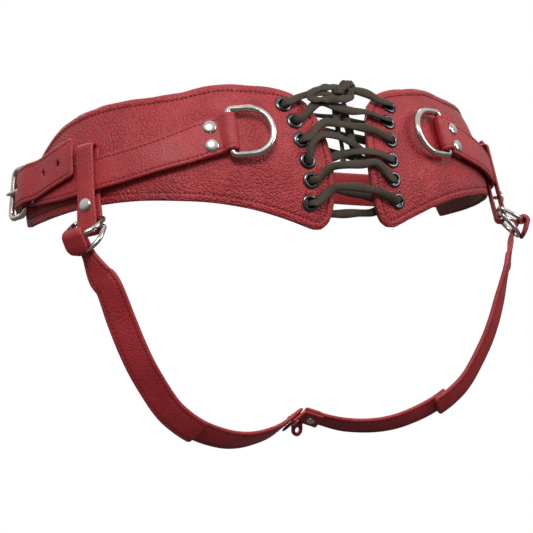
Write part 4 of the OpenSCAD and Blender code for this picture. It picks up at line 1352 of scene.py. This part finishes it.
# From the knot out to the left, down through the eyelets row by row, and back up behind the right panel.
def laceRoute():
    k = laceSet["knotZ"]
    bows = {
        1: (4.8, 5.6, 8.2, 10.8), 2: (5.6, 7.6, 9.4, 9.6), 4: (10.0, 9.4, 9.0, 7.4), 5: (5.6, 8.2, 9.4, 8.2),
    }
    route = [(-3, k - 3, 4.6), (-10, k - 1.6, 5.2), (-20, k - 1.2, 4.8), (-31, k - 3.4, 3.9)]
    route += lacePass(0, -1, True)
    for i in (1, 2):
        route += [(0, (eyeletPlaces[i - 1][1] + eyeletPlaces[i][1]) / 2, -7.2)]
        route += lacePass(i, 1, False) + frontRun(i, bows[i]) + lacePass(i, -1, True)
    z4 = eyeletPlaces[3][1]
    route += [(0, z4 + 6, -7.4)] + lacePass(3, 1, False)
    route += [(18, z4 + 4.2, 3.4), (4, z4 + 5.0, 2.4), (-6, z4 + 4.2, -1.2), (-14, z4 + 2.6, -6.0)]
    route += [(-24, z4 + 1, -7.4)]
    route += lacePass(3, -1, False)[1:-2] + [(-31.8, z4 + 2.2, 3.2)]
    route += [(-29.5, z4 + 9.5, 4.6), (-22, z4 + 15.0, 5.0), (-11, z4 + 14.6, 4.4), (0, z4 + 11.0, 2.6)]
    route += [(8, z4 + 9.4, -1.5)]
    route += [(18, z4 + 5.6, -6.4), (25, z4 - 4, -7.8)]
    for i in (4, 5):
        if i > 4:
            route += [(0, (eyeletPlaces[4][1] + eyeletPlaces[5][1]) / 2, -7.2)]
        route += lacePass(i, 1, False) + frontRun(i, bows[i]) + lacePass(i, -1, True)
    route += [(-22, -38.5, -8.6), (-10, -40.0, -9.4), (6, -39.8, -9.8), (20, -39.4, -9.8), (27, -34, -9.8)]
    route += [(27.5, -18, -9.4), (27, 0, -9.4), (27.5, 16, -9.4), (31, 27, -9)]
    route += lacePass(0, 1, False)
    route += [(31, k - 4.4, 3.9), (22, k - 0.6, 4.6), (12, k + 1.0, 5.0), (4, k - 1.0, 4.8)]
    return np.array(route, float)


# The route as evenly spaced points in space, with the surface's normal at each.
def smoothRoute(route, spacing):
    world = onHip(route[:, 0], route[:, 1], route[:, 2])
    d = np.sum(np.linalg.norm(np.diff(world, axis=0), axis=1))
    steps = np.linspace(0, 1, int(d / spacing))
    flatRoute = evenly(np.concatenate([world, route[:, :2]], axis=1), steps)
    normals = hipFrame(flatRoute[:, 3], flatRoute[:, 4])[3]
    return evenly(world, steps), normals


def laceParts(route, turns, seed, spacing=1.1):
    world, normals = smoothRoute(route, spacing)
    n = len(world)
    x = np.linspace(0, 1, n)
    rng = np.random.default_rng(seed)
    phase = rng.uniform(0, 6, 3)
    twist = 0.35 * np.sin(x * turns * 2.1 + phase[0]) + 0.25 * np.sin(x * turns * 5.3 + phase[1])
    width = laceSet["width"] / 2 * (1 + 0.1 * np.sin(x * turns * 9.7 + phase[2]))
    sides, flat = laceSet["sides"], laceSet["flat"]
    return tubeParts(world, width, sides, (0, -1, 0.2), flat=flat, twist=twist, lie=normals)


def makeLace():
    v, f, e = laceParts(laceRoute(), 26, laceSet["seed"])
    sides = laceSet["sides"]
    rim = np.abs(np.cos(np.linspace(0, 2 * math.pi, sides, endpoint=False))) ** 3 * 0.8
    edge = np.tile(rim, len(v) // sides)
    finishPiece("laceCord", [(v, f, edge)], laceLeather, "belt", ["lace"])


makeLace()


# The knot is a closed trefoil with two lace loops laid over it.
knotSet = {"thick": 3.5, "flat": 0.7, "wide": 2.5, "high": 1.75, "deep": 1.7, "lean": 32.0}


def makeKnot():
    k = laceSet["knotZ"]
    centre = onHip(2.0, k + 0.6, 5.6)
    base, u, v, w = hipFrame(2.0, k)
    a = np.linspace(0, 2 * math.pi, 130, endpoint=False)
    x = (np.sin(a) + 2 * np.sin(2 * a)) * knotSet["wide"]
    y = (np.cos(a) - 2 * np.cos(2 * a)) * knotSet["high"]
    z = -np.sin(3 * a) * knotSet["deep"]
    lean = math.radians(knotSet["lean"])
    path = centre + np.outer(x * math.cos(lean) - y * math.sin(lean), u)
    path = path + np.outer(x * math.sin(lean) + y * math.cos(lean), v) + np.outer(z, w)
    knot = tubeParts(path, knotSet["thick"] / 2, laceSet["sides"], w, closed=True, flat=knotSet["flat"])
    longLoop = [
        (1, k + 1, 6.4), (-7, k + 1.8, 7.2), (-16, k + 1.0, 6.4), (-23, k - 2.4, 5.8), (-24, k - 5.6, 5.6),
        (-18, k - 6.6, 6.2), (-9, k - 6.8, 6.8), (0, k - 6.4, 6.8), (6, k - 4.4, 6.2), (6.5, k - 0.8, 6),
    ]
    shortLoop = [
        (-2, k - 1, 7.6), (4, k + 2.4, 8.2), (9, k + 4.6, 7.6), (11.5, k + 3.0, 6.6), (8, k - 0.4, 6.2),
    ]
    loops = []
    for points, seed in ((longLoop, 5), (shortLoop, 8)):
        loops.append(laceParts(np.array(points, float), 6, seed, 0.9))
    finishPiece("laceKnot", [knot] + loops, laceLeather, "belt", ["lace_knot"])


makeKnot()

# Free lace ends, hanging in the gap behind the front runs. The points are those of the model.
def makeTail(side, body, nodes):
    k = laceSet["knotZ"]
    points = np.array([
        (2.5, k - 6.5, 0.7), (3, k - 11, -0.9), (3.8, k - 18, -2), (4.4, k - 26, -2.2), (4, k - 34, -2),
        (4.6, k - 42, -2.2), (5.2, k - 49, -2),
    ])
    world = sidedPoints(side, onHip(points[:, 0], points[:, 1], points[:, 2]))
    path = evenly(world, np.linspace(0, 1, 24))
    x = np.linspace(0, 1, len(path))
    twist = 0.7 * np.sin(x * 4 + (0.4 if side == "right" else 2.2))
    sides, flat = laceSet["sides"], laceSet["flat"]
    part = tubeParts(path, laceSet["width"] / 2, sides, (0, -1, 0), flat=flat, twist=twist)
    obj = finishPiece("laceTail_" + side, [part], laceLeather, body, nodes)


forSides(makeTail, "belt", "lace_tail_*")
print("lace ready")


# Stitches: a thread piece on every pitch of the stitch lines.
def makeStitchTree():
    tree = bpy.data.node_groups.new("stitchRow", "GeometryNodeTree")
    tree.interface.new_socket("Geometry", in_out="INPUT", socket_type="NodeSocketGeometry")
    for label, value in (("Pitch", 0.003), ("Length", 0.0021), ("Thread", 0.0006)):
        tree.interface.new_socket(label, in_out="INPUT", socket_type="NodeSocketFloat").default_value = value
    tree.interface.new_socket("Geometry", in_out="OUTPUT", socket_type="NodeSocketGeometry")
    nodes, links = tree.nodes, tree.links
    gi, go = nodes.new("NodeGroupInput"), nodes.new("NodeGroupOutput")
    curve = nodes.new("GeometryNodeMeshToCurve")
    links.new(gi.outputs["Geometry"], curve.inputs[0])
    resample = nodes.new("GeometryNodeResampleCurve")
    resample.mode = "LENGTH"
    links.new(curve.outputs[0], resample.inputs["Curve"])
    links.new(gi.outputs["Pitch"], resample.inputs["Length"])
    ball = nodes.new("GeometryNodeMeshUVSphere")
    ball.inputs["Segments"].default_value = 7
    ball.inputs["Rings"].default_value = 5
    ball.inputs["Radius"].default_value = 0.5
    tangent = nodes.new("GeometryNodeInputTangent")
    align = nodes.new("FunctionNodeAlignRotationToVector")
    align.axis = "Z"
    links.new(tangent.outputs[0], align.inputs["Vector"])
    scale = nodes.new("ShaderNodeCombineXYZ")
    links.new(gi.outputs["Thread"], scale.inputs[0])
    links.new(gi.outputs["Thread"], scale.inputs[1])
    links.new(gi.outputs["Length"], scale.inputs[2])
    place = nodes.new("GeometryNodeInstanceOnPoints")
    links.new(resample.outputs[0], place.inputs["Points"])
    links.new(ball.outputs[0], place.inputs["Instance"])
    links.new(align.outputs[0], place.inputs["Rotation"])
    links.new(scale.outputs[0], place.inputs["Scale"])
    realize = nodes.new("GeometryNodeRealizeInstances")
    links.new(place.outputs[0], realize.inputs[0])
    setMaterial = nodes.new("GeometryNodeSetMaterial")
    setMaterial.inputs["Material"].default_value = thread
    links.new(realize.outputs[0], setMaterial.inputs["Geometry"])
    links.new(setMaterial.outputs[0], go.inputs[0])
    return tree


stitchTree = makeStitchTree()
stitchSet = {"Pitch": 0.003, "Length": 0.0023, "Thread": 0.00062}


def makeStitches(body, lines):
    verts, edges = [], []
    for line in lines:
        edges += [(len(verts) + i, len(verts) + i + 1) for i in range(len(line) - 1)]
        verts += [tuple(p * mm) for p in line]
    mesh = bpy.data.meshes.new("stitches")
    mesh.from_pydata(verts, edges, [])
    obj = bpy.data.objects.new("stitches_" + body, mesh)
    bpy.context.scene.collection.objects.link(obj)
    modifier = obj.modifiers.new("rows", "NODES")
    modifier.node_group = stitchTree
    for item in stitchTree.interface.items_tree:
        if item.in_out == "INPUT" and item.name in stitchSet:
            modifier[item.identifier] = stitchSet[item.name]
    applied(obj)
    smoothFaces(obj)
    settle(obj, body, [])


for body, lines in stitchLines.items():
    makeStitches(body, lines)
print("stitches ready")

# Lights and surroundings: plain white to the camera, and a graded studio to everything else.
stageSet = {"low": 0.16, "middle": 0.5, "high": 0.95, "strength": 0.75}


def makeSurroundings():
    world = bpy.data.worlds.new("studio")
    world.use_nodes = True
    tree = world.node_tree
    white = tree.nodes["Background"]
    white.inputs[0].default_value = (1, 1, 1, 1)
    graded = tree.nodes.new("ShaderNodeBackground")
    graded.inputs[1].default_value = stageSet["strength"]
    at = tree.nodes.new("ShaderNodeTexCoord")
    parts = tree.nodes.new("ShaderNodeSeparateXYZ")
    tree.links.new(at.outputs["Generated"], parts.inputs[0])
    ramp = tree.nodes.new("ShaderNodeValToRGB")
    tree.links.new(mapRange(tree, parts.outputs[2], -1.0, 1.0), ramp.inputs[0])
    low, middle, high = stageSet["low"], stageSet["middle"], stageSet["high"]
    tones = ((0.3, low), (0.46, low), (0.56, middle), (0.75, high))
    while len(ramp.color_ramp.elements) < len(tones):
        ramp.color_ramp.elements.new(0.5)
    for element, (position, tone) in zip(ramp.color_ramp.elements, tones):
        element.position = position
        element.color = (tone, tone, tone, 1)
    tree.links.new(ramp.outputs[0], graded.inputs[0])
    path = tree.nodes.new("ShaderNodeLightPath")
    mix = tree.nodes.new("ShaderNodeMixShader")
    tree.links.new(path.outputs["Is Camera Ray"], mix.inputs[0])
    tree.links.new(graded.outputs[0], mix.inputs[1])
    tree.links.new(white.outputs[0], mix.inputs[2])
    tree.links.new(mix.outputs[0], tree.nodes["World Output"].inputs[0])
    bpy.context.scene.world = world
    bpy.context.scene.view_settings.view_transform = "Standard"


def makeLight(name, position, aim, size, power):
    data = bpy.data.lights.new(name, "AREA")
    data.shape = "RECTANGLE"
    data.size, data.size_y = size
    data.energy = power
    obj = bpy.data.objects.new(name, data)
    bpy.context.scene.collection.objects.link(obj)
    obj.location = position
    direction = Vector(aim) - Vector(position)
    obj.rotation_euler = direction.to_track_quat("-Z", "Y").to_euler()


lightSet = {
    "key": {"position": (-0.6, -1.3, 0.8), "aim": (0, 0, 0), "size": (0.5, 0.4), "power": 15},
    "fill": {"position": (0.9, -1.0, 0.3), "aim": (0, 0, -0.03), "size": (0.6, 0.6), "power": 6},
    "rim": {"position": (0.3, 0.9, 1.0), "aim": (0, 0, 0), "size": (0.9, 0.6), "power": 8},
}
makeSurroundings()
for name, light in lightSet.items():
    makeLight(name, **light)
print("lights ready")
